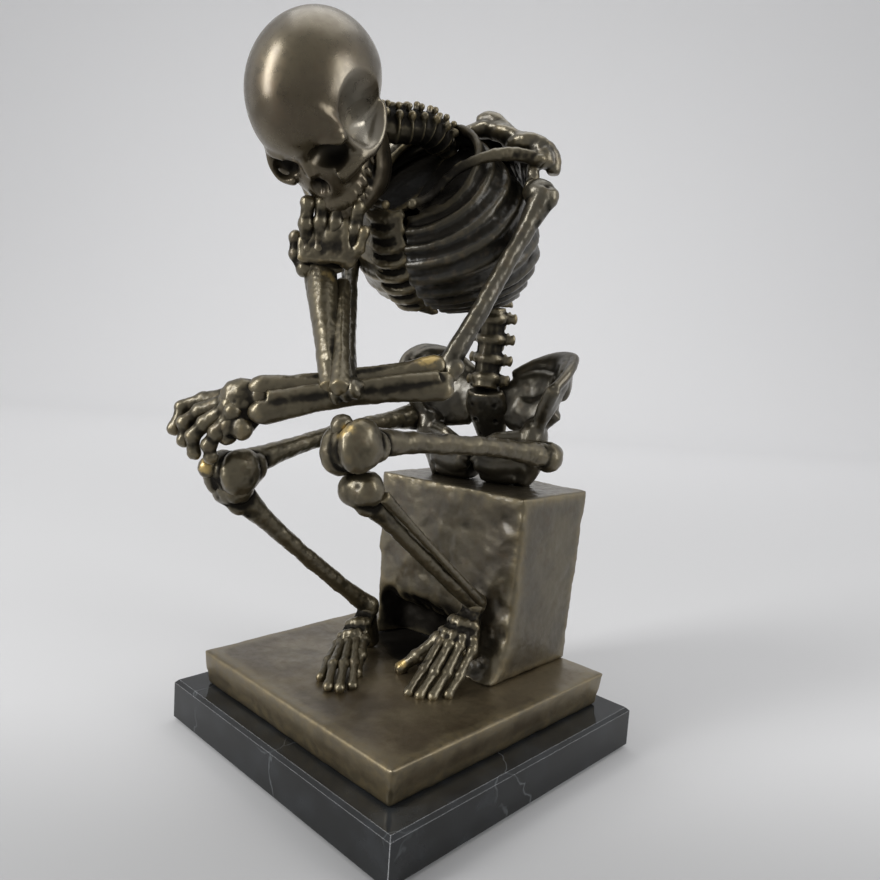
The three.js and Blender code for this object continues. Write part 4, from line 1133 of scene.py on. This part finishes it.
# The blade's upper edge and its inner corner, as rows for a tube, and its inner border's places
BLADE_TOP = [(8, -30, 39, 3, 3), (18, -33, 38, 4.2, 3.2), (28, -30, 36, 4.6, 3.4), (38, -27, 33, 4, 3.2)]
BLADE_CORNER = [
    (13, -35.5, 40.5, 2.6, 2.8),
    (18, -37.5, 40.5, 3.6, 3.8),
    (24, -34.5, 38.5, 3.4, 3.6),
    (31, -30, 34.5, 2.8, 3),
]
BLADE_BORDER = [(12, -32, 40), (14.2, -35.3, 28.3), (16.5, -37.5, 16.5), (18.8, -38.3, 4.8), (21, -38, -7)]


def clavicle(name, points):
    bm = bmesh.new()
    at = curve_through(points)[0]
    rings = []
    for i in range(21):
        share = i / 20
        radius = 1.9 + 0.8 * smooth_share(share, 0.3, 0.9)
        rings.append((at(share)[0], radius * 1.1, radius))
    tube(bm, rings)
    ball(bm, points[0], 2.4)
    egg(bm, points[-1], (4.4, 4, 2.6))
    cast_node(name, bm, lumps=((6, 0.9), (2.2, 0.4)))


def scapula(name, side, ridge, tip, shoulder):
    """The blade with its ridge, which is joined to the collar bone's tip by a lobed mass."""
    bm = node_copy(name)
    points = [CHEST.at(*place) for place in ridge]
    sizes = [(2.2, 2.6), (3.6, 3.8), (4.2, 3.8), (4.4, 3.4), (3.4, 2.8)]
    tube(bm, flowing([(point, *size) for point, size in zip(points, sizes)]), CHEST.rise)
    tube(bm, flowing([(points[2], 3.6, 3.2), (points[3].lerp(tip, 0.5), 4.4, 4), (tip, 3.2, 3)]), CHEST.rise)
    body_tube(bm, CHEST, BLADE_TOP, CHEST.rise, side)
    body_tube(bm, CHEST, BLADE_CORNER, CHEST.rise, side)
    border = [CHEST.at(side * out, front, rise) for out, front, rise in BLADE_BORDER]
    tube(bm, flowing([(place, 1.45, 1.45) for place in border]), CHEST.side)
    end = border[-1]
    socket = shoulder - CHEST.side * (side * 7) - CHEST.front * 3.5
    tube(bm, [(end, 1.5, 1.5), (end.lerp(socket, 0.5), 1.6, 1.6), (socket, 2.4, 2.4)], CHEST.side)
    cast_node(name, bm, "dark", smooth=9, lumps=((7, 1.0), (2.4, 0.4)), swell=0.2)


# Arms


def humerus(name, shoulder, elbow, inward, radii):
    slim, head_radius, elbow_radius = radii
    bm = bmesh.new()
    axes = run, across, over = along(shoulder, elbow, inward)
    bone(bm, shoulder, elbow - run * 2, slim, head_radius, elbow_radius, inward * -0.5, flat=0.82)
    ball(bm, shoulder + inward * 2.5, head_radius)
    egg(bm, shoulder - inward * 3 + run * 2, (5, 4, 4.6), axes)
    egg(bm, elbow - run, (elbow_radius * 0.9, elbow_radius * 1.45, elbow_radius * 0.9), axes)
    for shift in (-0.75, 0, 0.75):
        knuckle = elbow + run * 1.2 + across * (elbow_radius * shift)
        egg(bm, knuckle, (elbow_radius * 0.72, elbow_radius * 0.5, elbow_radius * 0.8), axes)
    ridge = [(shoulder.lerp(elbow, t) + over * slim * 0.8, 1.0, 1.2) for t in (0.08, 0.25, 0.45, 0.6)]
    tube(bm, ridge, across)
    cast_node(name, bm, "dark", smooth=6, lumps=((9, 1.0), (3, 0.4)))


def forearm(name, start, end, start_radius, end_radius, bow, slim=4.0, reach=0.22, bridge=None, joint=None):
    """A forearm bone; bridge is the way to the web to its neighbour, and joint is where its root ends."""
    bm = bmesh.new()
    bone(bm, start, end, slim, start_radius, end_radius, bow, reach=reach)
    egg(bm, start, (start_radius * 0.9,) * 3)
    axes = run, across, over = along(start, end, UP)
    egg(bm, end - run, (end_radius * 1.2, end_radius * 0.96, end_radius * 0.92), axes)
    ridge = [(start.lerp(end, t) + across * (slim - 0.7), 1.1, 1.1) for t in (0.15, 0.35, 0.6, 0.85)]
    tube(bm, ridge, over)
    tube(bm, [(start, start_radius * 0.9, start_radius * 0.9), (joint or start - run * 2, 4.6, 4.6)])
    if bridge is not None:
        depths = ((0.02, 4.6), (0.3, 4.2), (0.6, 3.4), (0.96, 4.6))
        tube(bm, [(start.lerp(end, t) + bridge, 4.2, depth) for t, depth in depths])
    cast_node(name, bm, smooth=7, lumps=((9, 0.9), (3, 0.35)))


# Hands and feet


def digit(bm, joints, radius):
    """Shafts between joints, with a knuckle at each joint and a pad at the tip."""
    for i, joint in enumerate(joints):
        size = radius * (1 - 0.07 * i)
        if i:
            bone(bm, joints[i - 1], joint, size * 0.9, size * 1.02, size, reach=0.22)
        start = max(i - 1, 0)
        axes = along(joints[start], joints[start + 1], DIGIT_AIM)
        egg(bm, joint, (size * 1.08, size * 1.04, size * 1.06), axes)


def digits(side, places, radius, over):
    for name, points in places:
        bm = bmesh.new()
        thick = radius * (1.3 if name == "toe_1" else 1)
        digit(bm, [over(*point) for point in points], thick)
        cast_node(f"{side}_{name}", bm, smooth=5, lumps=((5, 0.8), (2, 0.3)))


def left_carpus():
    bm = node_copy("left_carpus")
    for points in LEFT_DIGITS.values():
        knuckle = over_seat(*points[0])
        bone(bm, LEFT_WRIST, knuckle, 3.4, 4.2, 3.6)
        egg(bm, LEFT_WRIST.lerp(knuckle, 0.55), (4.2, 3.8, 4.2))
    for x, y, height in ((-9, -92, 33), (-6, -93, 30), (-11, -96, 31), (-5, -88, 36), (-14, -95, 27)):
        egg(bm, over_seat(x, y, height), (5, 4.6, 5.4))
    egg(bm, LEFT_WRIST, (6.5, 6, 8))
    cast_node("left_carpus", bm, smooth=8, lumps=((7, 1.2), (2.6, 0.4)))


def right_carpus():
    """Two blocks for the palm, with the wrist, the knuckles and a slit between the wrist's bones."""
    bm = bmesh.new()
    across = Vector((0.75, 0.55, 0)).normalized()
    palm_turn = Matrix((across, UP.cross(across), UP)).transposed()
    for height, width, thick, tall in ((104.6, 21.5, 13.5, 10), (110.5, 20, 9.5, 9)):
        place = Matrix.LocRotScale(over_seat(-13.8, -50.2, height), palm_turn, Vector((width, thick, tall)))
        bmesh.ops.create_cube(bm, size=1.0, matrix=place)
    tube(bm, [(over_seat(-16.5, -47.5, 97.5), 7.5, 6), (over_seat(-14.5, -49.5, 103), 9, 6.5)], across)
    for points in RIGHT_DIGITS.values():
        egg(bm, over_seat(*points[0]), (3.6, 3.6, 3.8))
    tube(bm, [(over_seat(-15.5, -56.5, 111), 8, 2.4), (over_seat(-1, -47.5, 111), 8, 2.4)])
    digit(bm, [over_seat(-4, -46, 100), over_seat(1, -44, 106), over_seat(4, -44, 113)], 2.8)
    cuts = bmesh.new()
    tube(cuts, [(over_seat(-21, -56, 99.3), 0.45, 1.4), (over_seat(-8, -51, 99.8), 0.45, 1.4)])
    cast_node("right_carpus", bm, smooth=18, lumps=((6, 0.9), (2.4, 0.3)), cuts=cuts, swell=0.4)


def tarsus(name, ankle, toes, heel):
    """Heel, ankle and rows of rounded blocks before the toes, on a core without holes."""
    bm = bmesh.new()
    starts = [over_base(*toe[0]) for toe in toes]
    middle = sum(starts, Vector()) / len(starts)
    for start in starts:
        bone(bm, start, ankle - UP * 2, 3.0, 2.8, 3.4)
        for share, size in ((0.14, 2.9), (0.42, 3.3)):
            egg(bm, start.lerp(ankle, share) + UP * 1.3, (size, size * 0.9, size))
    instep = middle.lerp(ankle, 0.5) - UP * 2
    tube(bm, flowing([(middle - UP * 2, 6.5, 2.6), (instep, 5.5, 3.4), (ankle - UP * 3, 5, 4.4)]), X)
    tube(bm, flowing([(ankle - UP * 2, 4.4, 4.4), (ankle.lerp(heel, 0.5), 4, 4.4), (heel, 4.4, 4.8)]), X)
    egg(bm, heel, (4.6, 5.2, 4.8))
    egg(bm, ankle - UP * 1.5, (6.0, 5.4, 4.4))
    cast_node(name, bm, smooth=3, lumps=((4, 0.8), (1.8, 0.35)))


# Pelvis and legs


def hip_bone(name, side):
    bm = node_copy(name)
    crest = [(12, -13, 21), (27, -14, 31), (42, -9, 33), (46, 5, 27), (42, 17, 17)]
    body_tube(bm, HIPS, [(*place, 2.3, 2.2) for place in crest], HIPS.rise, side)
    edge = [(42, 17, 17), (37, 13, 8), (33, 8, 0), (31, 6, -10)]
    body_tube(bm, HIPS, [(*place, 3.4, 2.6) for place in edge], HIPS.side, side)
    sit = [(28, 2, -12, 7.5, 8), (24, -2, -22, 7.5, 9), (19, 0, -31, 7, 8.5)]
    body_tube(bm, HIPS, sit, HIPS.front, side)
    wing = [(7, -7, 5, 11, 5), (16, -8, 8, 12.5, 4.8), (26, -8, 11, 14, 4.4), (36, -4, 12, 12, 4.4)]
    blade = [(14, -11, 15, 10, 4), (26, -12.5, 21, 11, 4), (38, -8, 23, 11, 4), (42, 3, 18, 8.5, 3.4)]
    for plate in (wing, blade):
        body_tube(bm, HIPS, plate, HIPS.rise, side)
    egg(bm, HIPS.at(side * 13.4, 1, -24), (13.2, 10, 9.6), HIPS.axes)
    foot = [(3, 2, -29.5, 4, 9), (12, 1, -29.5, 4, 10), (21, 0, -29.5, 4, 9)]
    body_tube(bm, HIPS, foot, HIPS.rise, side)
    web = [(24, 4, -20, 4, 7), (12, 9, -24, 4.5, 6), (3, 13, -22, 4.5, 5)]
    body_tube(bm, HIPS, web, HIPS.front, side)
    cast_node(name, bm, "dark", full=2.4, smooth=26, lumps=((12, 0.8), (4, 0.25)), swell=0.5)


def femur(name, hip, trochanter, knee):
    bm = bmesh.new()
    axes = along(trochanter, knee, HIPS.side)
    run, across = axes[:2]
    bone(bm, trochanter, knee, 4.3, 6.6, 7.2, UP * 3)
    ball(bm, trochanter, 7.6)
    egg(bm, trochanter - run * 3 + UP * 2, (5, 6, 5.4), axes)
    tube(bm, [(hip, 4.4, 4.4), (trochanter, 5, 5)])
    ball(bm, hip, 6.2)
    for shift, drop in ((1, 0), (-1, 2.5)):
        condyle = knee + across * (shift * KNEE_RADIUS * 0.56) - UP * drop
        egg(bm, condyle, (KNEE_RADIUS * 0.97, KNEE_RADIUS * 0.64, KNEE_RADIUS * 1.03), axes)
        egg(bm, condyle - run * 6.5, (7, 4, 6.6), axes)
    egg(bm, knee - UP, (KNEE_RADIUS * 0.9, KNEE_RADIUS * 0.8, KNEE_RADIUS * 0.9), axes)
    cast_node(name, bm, smooth=14, lumps=((10, 1.5), (3.6, 0.45)), swell=0.2)


def tibia(name, top, ankle):
    bm = bmesh.new()
    axes = run, across, over = along(top, ankle, HIPS.side)
    front = over if over.y < 0 else -over
    bone(bm, top, ankle, 3.8, 6.8, 4.6, front * 1.5)
    for shift in (-1, 1):
        egg(bm, top + across * (shift * 4), (6, 5.4, 6.8), axes)
    egg(bm, top + front * 5 + run * 6, (5, 3, 3.4), axes)
    egg(bm, top + run, (7.4, 9.4, 7.4), axes)
    shin = [(top.lerp(ankle, t) + front * 3.0, 1.2, 1.4) for t in (0.1, 0.3, 0.5, 0.7)]
    tube(bm, shin, across)
    egg(bm, ankle + across * 2.5, (4.6, 3.4, 4.4), axes)
    cast_node(name, bm, smooth=14, lumps=((9, 1.2), (3, 0.4)), swell=0.2)


def small_bone(name, smooth, swell):
    """A bone that keeps its solid's form, rounded and given the cast's lumps."""
    cast_node(name, node_copy(name), smooth=smooth, lumps=((3, 0.4), (1.6, 0.25)), swell=swell)


# Rock and plate


ROCK_MIDDLE = 3.5
ROCK_HALF = 45
ROCK_TAPER = 3
ROCK_BACK = 71
ROCK_LEAN = 3.5
ROCK_FRONT = 14
ROCK_FLARE = 12
# How deep the cave under the front is, and its height and the run of its fading edge as shares of the rock's
ROCK_CAVE = 16
CAVE_HEIGHT = 0.13
CAVE_EDGE = 0.12
# Sizes of the two sorts of chisel marks on the front, and how deep they are
BROAD_MARKS, BROAD_DEPTH = 12, 1.1
FINE_MARKS, FINE_DEPTH = 5, 0.9
# Two corners of the hollow inside
ROCK_HOLLOW = ((-38, 34, -2), (38, 66, 82))


def rock_point(across, deep, rise):
    """A point of the rock from its shares across, from front to back and upwards, with its carved front."""
    half = ROCK_HALF - ROCK_TAPER * (1 - rise)
    x = (2 * across - 1) * half
    ragged = 0.05 * field.noise(Vector((x, 0, 60 * rise)) / 5)
    foot = math.exp(-9 * rise) * smooth_share(x, -6, 30)
    cave = math.exp(-(max(rise - CAVE_HEIGHT + ragged, 0) / CAVE_EDGE) ** 4) * smooth_share(-x, -16, 2)
    cave *= smooth_share(x + half, 1, 7)
    front = ROCK_FRONT + 0.1 * (x + half) - ROCK_FLARE * foot + ROCK_CAVE * cave
    back = ROCK_BACK + ROCK_LEAN * rise
    place = Vector((x + ROCK_MIDDLE, front + (back - front) * deep, BASE_TOP + SEAT_HEIGHT * rise))
    low = 1 + 3 * foot
    broad = BROAD_DEPTH * field.noise(place / BROAD_MARKS)
    fine = FINE_DEPTH * low * field.noise(place / FINE_MARKS)
    place.y -= (broad + fine) * (1 - deep) ** 8
    return place


def seat_rock():
    bm = bmesh.new()
    bmesh.ops.create_cube(bm, size=1.0)
    bmesh.ops.subdivide_edges(bm, edges=bm.edges[:], cuts=60, use_grid_fill=True)
    for vert in bm.verts:
        across, deep, rise = vert.co + Vector((0.5, 0.5, 0.5))
        vert.co = rock_point(across, deep, rise)
    cuts = bmesh.new()
    low, high = (over_base(*corner) for corner in ROCK_HOLLOW)
    place = Matrix.LocRotScale((low + high) / 2, None, high - low)
    bmesh.ops.create_cube(cuts, size=1.0, matrix=place)
    lumps = ((22, 0.8), (7, 0.5), (2.6, 0.35))
    piece = cast("seat_rock", bm, grain=bpy.context.scene.statue.rock_grain, lumps=lumps, cuts=cuts)
    finish_cast(piece, finish_of("rock"), "seat_block", full=1.8)


def base_plate():
    grain = bpy.context.scene.statue.rock_grain * 1.1
    piece = cast("base_plate", node_copy("base_casting"), grain=grain, lumps=((34, 1.0), (10, 0.3)))
    finish_cast(piece, finish_of("plate"), "base_casting", full=0.9)


# Stage: floor, backdrop, lamps, world and camera

# The camera's angles are in degrees, the frame and its shift in pixels, the rest in millimetres
CAMERA_PLACE = (255.5, -250.6, 189.2)
CAMERA_TURN = 44.43
CAMERA_DOWN = 6.41
CAMERA_ROLL = 3.81
FRAME_PIXELS = 880
CENTRE_SHIFT = 6
SENSOR_WIDTH = 36
CAMERA_RIGHT = turned(CAMERA_TURN)
CAMERA_AHEAD = Vector((-CAMERA_RIGHT.y, CAMERA_RIGHT.x, 0))
# The paper of the floor and backdrop, in metres
PAPER_HALF = 4.0
PAPER_RISE = 4.0
BEND_RADIUS = 0.6
BACK_DISTANCE = 1.5


def paper_material():
    """Pale paper with a faint fibre, with painted shade in front of the statue and painted light far behind
    it.
    """
    floor = bpy.context.scene.stage_settings.floor
    material, tree, shader = new_material("Pale paper")
    place = object_place(tree)
    # Painted light falloff: darker towards the camera and lighter far behind the statue
    depth = dot(tree, place, CAMERA_AHEAD)
    near, far = ([min(share * value, 0.92) for value in floor] for share in (0.66, 1.66))
    colour = mix_colour(tree, ramp(tree, depth, -0.13, 0.03), near, floor)
    colour = mix_colour(tree, ramp(tree, depth, 0.15, 1.5), colour, far)
    fibre = noise(tree, place, 800, detail=6)
    grey = mix_colour(tree, ramp(tree, fibre, 0.3, 0.7, 0.0, 0.03), colour, (0.4, 0.4, 0.4))
    link(tree, grey, shader.inputs["Base Color"])
    set_inputs(shader, Roughness=0.8, Specular_IOR_Level=0.2)
    return material


def backdrop():
    """A pale floor that curves up into a backdrop behind the statue, as the camera sees it."""
    bm = bmesh.new()
    ends = [bm.verts.new(CAMERA_RIGHT * side * PAPER_HALF - CAMERA_AHEAD * PAPER_HALF) for side in (-1, 1)]
    edges = [bm.edges.new(ends)]

    def extrude(move):
        grown = bmesh.ops.extrude_edge_only(bm, edges=edges)["geom"]
        verts = [item for item in grown if isinstance(item, bmesh.types.BMVert)]
        bmesh.ops.translate(bm, vec=move, verts=verts)
        lines = [item for item in grown if isinstance(item, bmesh.types.BMEdge)]
        edges[:] = [line for line in lines if set(line.verts) <= set(verts)]

    extrude(CAMERA_AHEAD * (PAPER_HALF + BACK_DISTANCE))
    centre = CAMERA_AHEAD * BACK_DISTANCE + UP * BEND_RADIUS
    bend = bmesh.ops.spin(bm, geom=edges, cent=centre, axis=CAMERA_RIGHT, angle=math.radians(90), steps=16)
    edges[:] = [item for item in bend["geom_last"] if isinstance(item, bmesh.types.BMEdge)]
    extrude(UP * PAPER_RISE)
    mesh = bpy.data.meshes.new("backdrop")
    bm.to_mesh(mesh)
    bm.free()
    for polygon in mesh.polygons:
        polygon.use_smooth = True
    mesh.materials.append(paper_material())
    add_object("backdrop", mesh)


def soft_lamp(name, place, target, width, height, power):
    lamp = bpy.data.lights.new(name, "AREA")
    lamp.shape = "RECTANGLE"
    lamp.size = width
    lamp.size_y = height
    lamp.energy = power
    piece = add_object(name, lamp)
    piece.location = place
    piece.rotation_euler = (Vector(target) - Vector(place)).to_track_quat("-Z", "Y").to_euler()


def room_world():
    """A pale room behind and to the sides, and a dimmer one behind the camera."""
    world = bpy.data.worlds.new("Room")
    bpy.context.scene.world = world
    world.use_nodes = True
    tree = world.node_tree
    background = tree.nodes["Background"]
    ahead = dot(tree, new_node(tree, "ShaderNodeTexCoord").outputs["Generated"], CAMERA_AHEAD)
    colour = mix_colour(tree, ramp(tree, ahead, -0.6, 0.5), (0.5, 0.5, 0.505), (0.87, 0.87, 0.88))
    link(tree, colour, background.inputs["Color"])
    set_inputs(background, Strength=1.0)


def camera():
    data = bpy.data.cameras.new("Photo view")
    data.lens = bpy.context.scene.stage_settings.lens
    data.sensor_width = SENSOR_WIDTH
    data.shift_x = CENTRE_SHIFT / FRAME_PIXELS
    data.clip_start = 0.01
    piece = add_object("Photo view", data)
    turn = Matrix.Rotation(math.radians(CAMERA_TURN), 4, "Z")
    tilt = Matrix.Rotation(math.radians(90 - CAMERA_DOWN), 4, "X")
    roll = Matrix.Rotation(math.radians(CAMERA_ROLL), 4, "Z")
    piece.matrix_world = Matrix.Translation(Vector(CAMERA_PLACE) * MM) @ turn @ tilt @ roll
    bpy.context.scene.camera = piece


class StatueStage(bpy.types.Operator):
    """Set up the floor, the lamps, the world and the camera"""

    bl_idname = "statue.stage"
    bl_label = "Stage"

    def execute(self, context):
        camera()
        backdrop()
        room_world()
        soft_lamp("Window left", (-0.35, -1.1, 0.75), (0, 0, 0.2), 0.27, 1.1, 15.5)
        soft_lamp("Window right", (1.1, 0.45, 0.7), (0, 0, 0.2), 0.5, 1.0, 7)
        soft_lamp("Ceiling", (-0.2, 0.2, 1.6), (0, 0, 0), 1.2, 1.2, 5.5)
        context.scene.view_settings.view_transform = "Standard"
        return {"FINISHED"}


class StatuePlinth(bpy.types.Operator):
    """Give the plinth its marble, the underside its felt and the screws their steel"""

    bl_idname = "statue.plinth"
    bl_label = "Plinth, felt and screws"

    def execute(self, context):
        marble, felt, steel = marble_material(), felt_material(), steel_material()
        dressed = {
            "marble_plinth": marble,
            "base_felt": felt,
            "fixing_screw_left": steel,
            "fixing_screw_right": steel,
        }
        for name, material in dressed.items():
            slots = nodes[name].data.materials
            slots.clear()
            slots.append(material)
        return {"FINISHED"}


class StatueRock(bpy.types.Operator):
    """Cast the plate and the rock that the figure sits on"""

    bl_idname = "statue.rock"
    bl_label = "Plate and rock"

    def execute(self, context):
        base_plate()
        seat_rock()
        return {"FINISHED"}


class StatueSkull(bpy.types.Operator):
    """Cast the skull and its lower jaw"""

    bl_idname = "statue.skull"
    bl_label = "Skull and jaw"

    def execute(self, context):
        cranium()
        mandible()
        return {"FINISHED"}


class StatueSpine(bpy.types.Operator):
    """Cast the neck, back and loin of the spine, and the sacrum"""

    bl_idname = "statue.spine"
    bl_label = "Spine"

    def execute(self, context):
        vertebrae("cervical_spine", NECK_PATH, 10, 8.2, 9.6, 9.2, Vector((0, 0.25, 1)), core=0.86, body=0.3)
        vertebrae("thoracic_spine", THORACIC_PATH, 10, 4.6, 10, 0, -CHEST.front)
        vertebrae("lumbar_spine", LUMBAR_PATH, 4, 7.9, 15, 11, Vector((-0.3, 1, 0.1)), core=0.84, body=0.48)
        sacrum()
        return {"FINISHED"}


class StatueChest(bpy.types.Operator):
    """Cast the two halves of the rib cage and the breastbone"""

    bl_idname = "statue.chest"
    bl_label = "Rib cage"

    def execute(self, context):
        # The left half gets the near-black chest bronze, which is painted shade
        rib_half("left_rib_cage", 1, 2.6, 0.3, "chest")
        rib_half("right_rib_cage", -1, 1.8, 1.2, "bone")
        sternum()
        return {"FINISHED"}


class StatueShoulders(bpy.types.Operator):
    """Cast the collar bones and shoulder blades"""

    bl_idname = "statue.shoulders"
    bl_label = "Shoulders"

    def execute(self, context):
        clavicle("left_clavicle", LEFT_CLAVICLE)
        clavicle("right_clavicle", RIGHT_CLAVICLE)
        scapula("left_scapula", 1, LEFT_RIDGE, LEFT_CLAVICLE[-1], LEFT_SHOULDER)
        scapula("right_scapula", -1, RIGHT_RIDGE, RIGHT_CLAVICLE[-1], RIGHT_SHOULDER)
        return {"FINISHED"}


class StatueArms(bpy.types.Operator):
    """Cast the arm bones"""

    bl_idname = "statue.arms"
    bl_label = "Arms"

    def execute(self, context):
        radii = (4.6, 6.8, 5.4)
        humerus("left_humerus", LEFT_SHOULDER, LEFT_ELBOW, -CHEST.side, radii)
        humerus("right_humerus", RIGHT_SHOULDER, RIGHT_ELBOW, CHEST.side, radii)
        forearm("left_ulna", LEFT_ELBOW + Vector((-2, -4, 0)), LEFT_WRIST + Vector((1, -1, 3.5)),
                5.6, 5.4, UP * -1.7, slim=3.4)
        forearm("left_radius", LEFT_ELBOW + Vector((4, -5, -9)), LEFT_WRIST + Vector((5, -3, -6)),
                4.8, 5.2, UP, slim=3.3, bridge=Vector((-1.3, 0.3, 4.6)),
                joint=LEFT_ELBOW + Vector((1, -3, -4)))
        forearm("right_radius", RIGHT_ELBOW + Vector((-6, -4, 2)), RIGHT_WRIST + Vector((-2, -2, -3)),
                4.4, 8, Vector(), slim=4.8, reach=0.45, bridge=Vector((3.4, 1.8, -3)))
        forearm("right_ulna", RIGHT_ELBOW + Vector((0, -3, 2)), RIGHT_WRIST + Vector((5, 5, -9)),
                4.8, 4.4, Vector(), slim=4.4)
        return {"FINISHED"}


class StatueHands(bpy.types.Operator):
    """Cast the wrist blocks and fingers"""

    bl_idname = "statue.hands"
    bl_label = "Hands"

    def execute(self, context):
        left_carpus()
        right_carpus()
        left = [(f"{name}_finger", points) for name, points in LEFT_DIGITS.items()]
        right = [(f"{name}_finger", points) for name, points in RIGHT_DIGITS.items()]
        digits("left", left, FINGER_RADIUS, over_seat)
        digits("right", right, FINGER_RADIUS, over_seat)
        return {"FINISHED"}


class StatueLegs(bpy.types.Operator):
    """Cast the hip bones and the leg bones"""

    bl_idname = "statue.legs"
    bl_label = "Pelvis and legs"

    def execute(self, context):
        hip_bone("left_hip_bone", 1)
        hip_bone("right_hip_bone", -1)
        femur("left_femur", LEFT_HIP, LEFT_TROCHANTER, LEFT_KNEE)
        femur("right_femur", RIGHT_HIP, RIGHT_TROCHANTER, RIGHT_KNEE)
        tibia("left_tibia", LEFT_SHIN, LEFT_ANKLE)
        tibia("right_tibia", RIGHT_SHIN, RIGHT_ANKLE)
        for name in ("left_patella", "right_patella"):
            small_bone(name, 6, 0.4)
        for name in ("left_fibula", "right_fibula"):
            small_bone(name, 4, 0.25)
        return {"FINISHED"}


class StatueFeet(bpy.types.Operator):
    """Cast the ankles, heels and toes"""

    bl_idname = "statue.feet"
    bl_label = "Feet"

    def execute(self, context):
        tarsus("left_tarsus", LEFT_ANKLE, LEFT_TOES, over_base(29, 15, 12))
        tarsus("right_tarsus", RIGHT_ANKLE, RIGHT_TOES, over_base(-25, -2, 4.5))
        for side, toes in (("left", LEFT_TOES), ("right", RIGHT_TOES)):
            digits(side, [(f"toe_{i + 1}", toe) for i, toe in enumerate(toes)], TOE_RADIUS, over_base)
        return {"FINISHED"}


class StatuePanel(bpy.types.Panel):
    """Lists the statue's pieces"""

    bl_idname = "VIEW3D_PT_statue"
    bl_label = "Statue"
    bl_space_type = "VIEW_3D"
    bl_region_type = "UI"
    bl_category = "Statue"

    def draw(self, context):
        for operator in OPERATORS:
            self.layout.operator(operator.bl_idname)
        for name in ("bone_grain", "rock_grain", "patina", "recess_and_shade", "rubbed", "marble", "vein", "felt"):
            self.layout.prop(context.scene.statue, name)
        for name in ("floor", "lens"):
            self.layout.prop(context.scene.stage_settings, name)


OPERATORS = (
    StatueStage,
    StatuePlinth,
    StatueRock,
    StatueSkull,
    StatueSpine,
    StatueChest,
    StatueShoulders,
    StatueArms,
    StatueHands,
    StatueLegs,
    StatueFeet,
)
CLASSES = (StatueSettings, StageSettings, *OPERATORS, StatuePanel)


def register():
    for item in CLASSES:
        bpy.utils.register_class(item)
    bpy.types.Scene.statue = bpy.props.PointerProperty(type=StatueSettings)
    bpy.types.Scene.stage_settings = bpy.props.PointerProperty(type=StageSettings)


def unregister():
    del bpy.types.Scene.stage_settings
    del bpy.types.Scene.statue
    for item in reversed(CLASSES):
        bpy.utils.unregister_class(item)


def main():
    register()
    bpy.ops.statue.stage()
    bpy.ops.statue.plinth()
    bpy.ops.statue.rock()
    bpy.ops.statue.skull()
    bpy.ops.statue.spine()
    bpy.ops.statue.chest()
    bpy.ops.statue.shoulders()
    bpy.ops.statue.arms()
    bpy.ops.statue.hands()
    bpy.ops.statue.legs()
    bpy.ops.statue.feet()


if __name__ == "__main__":
    main()
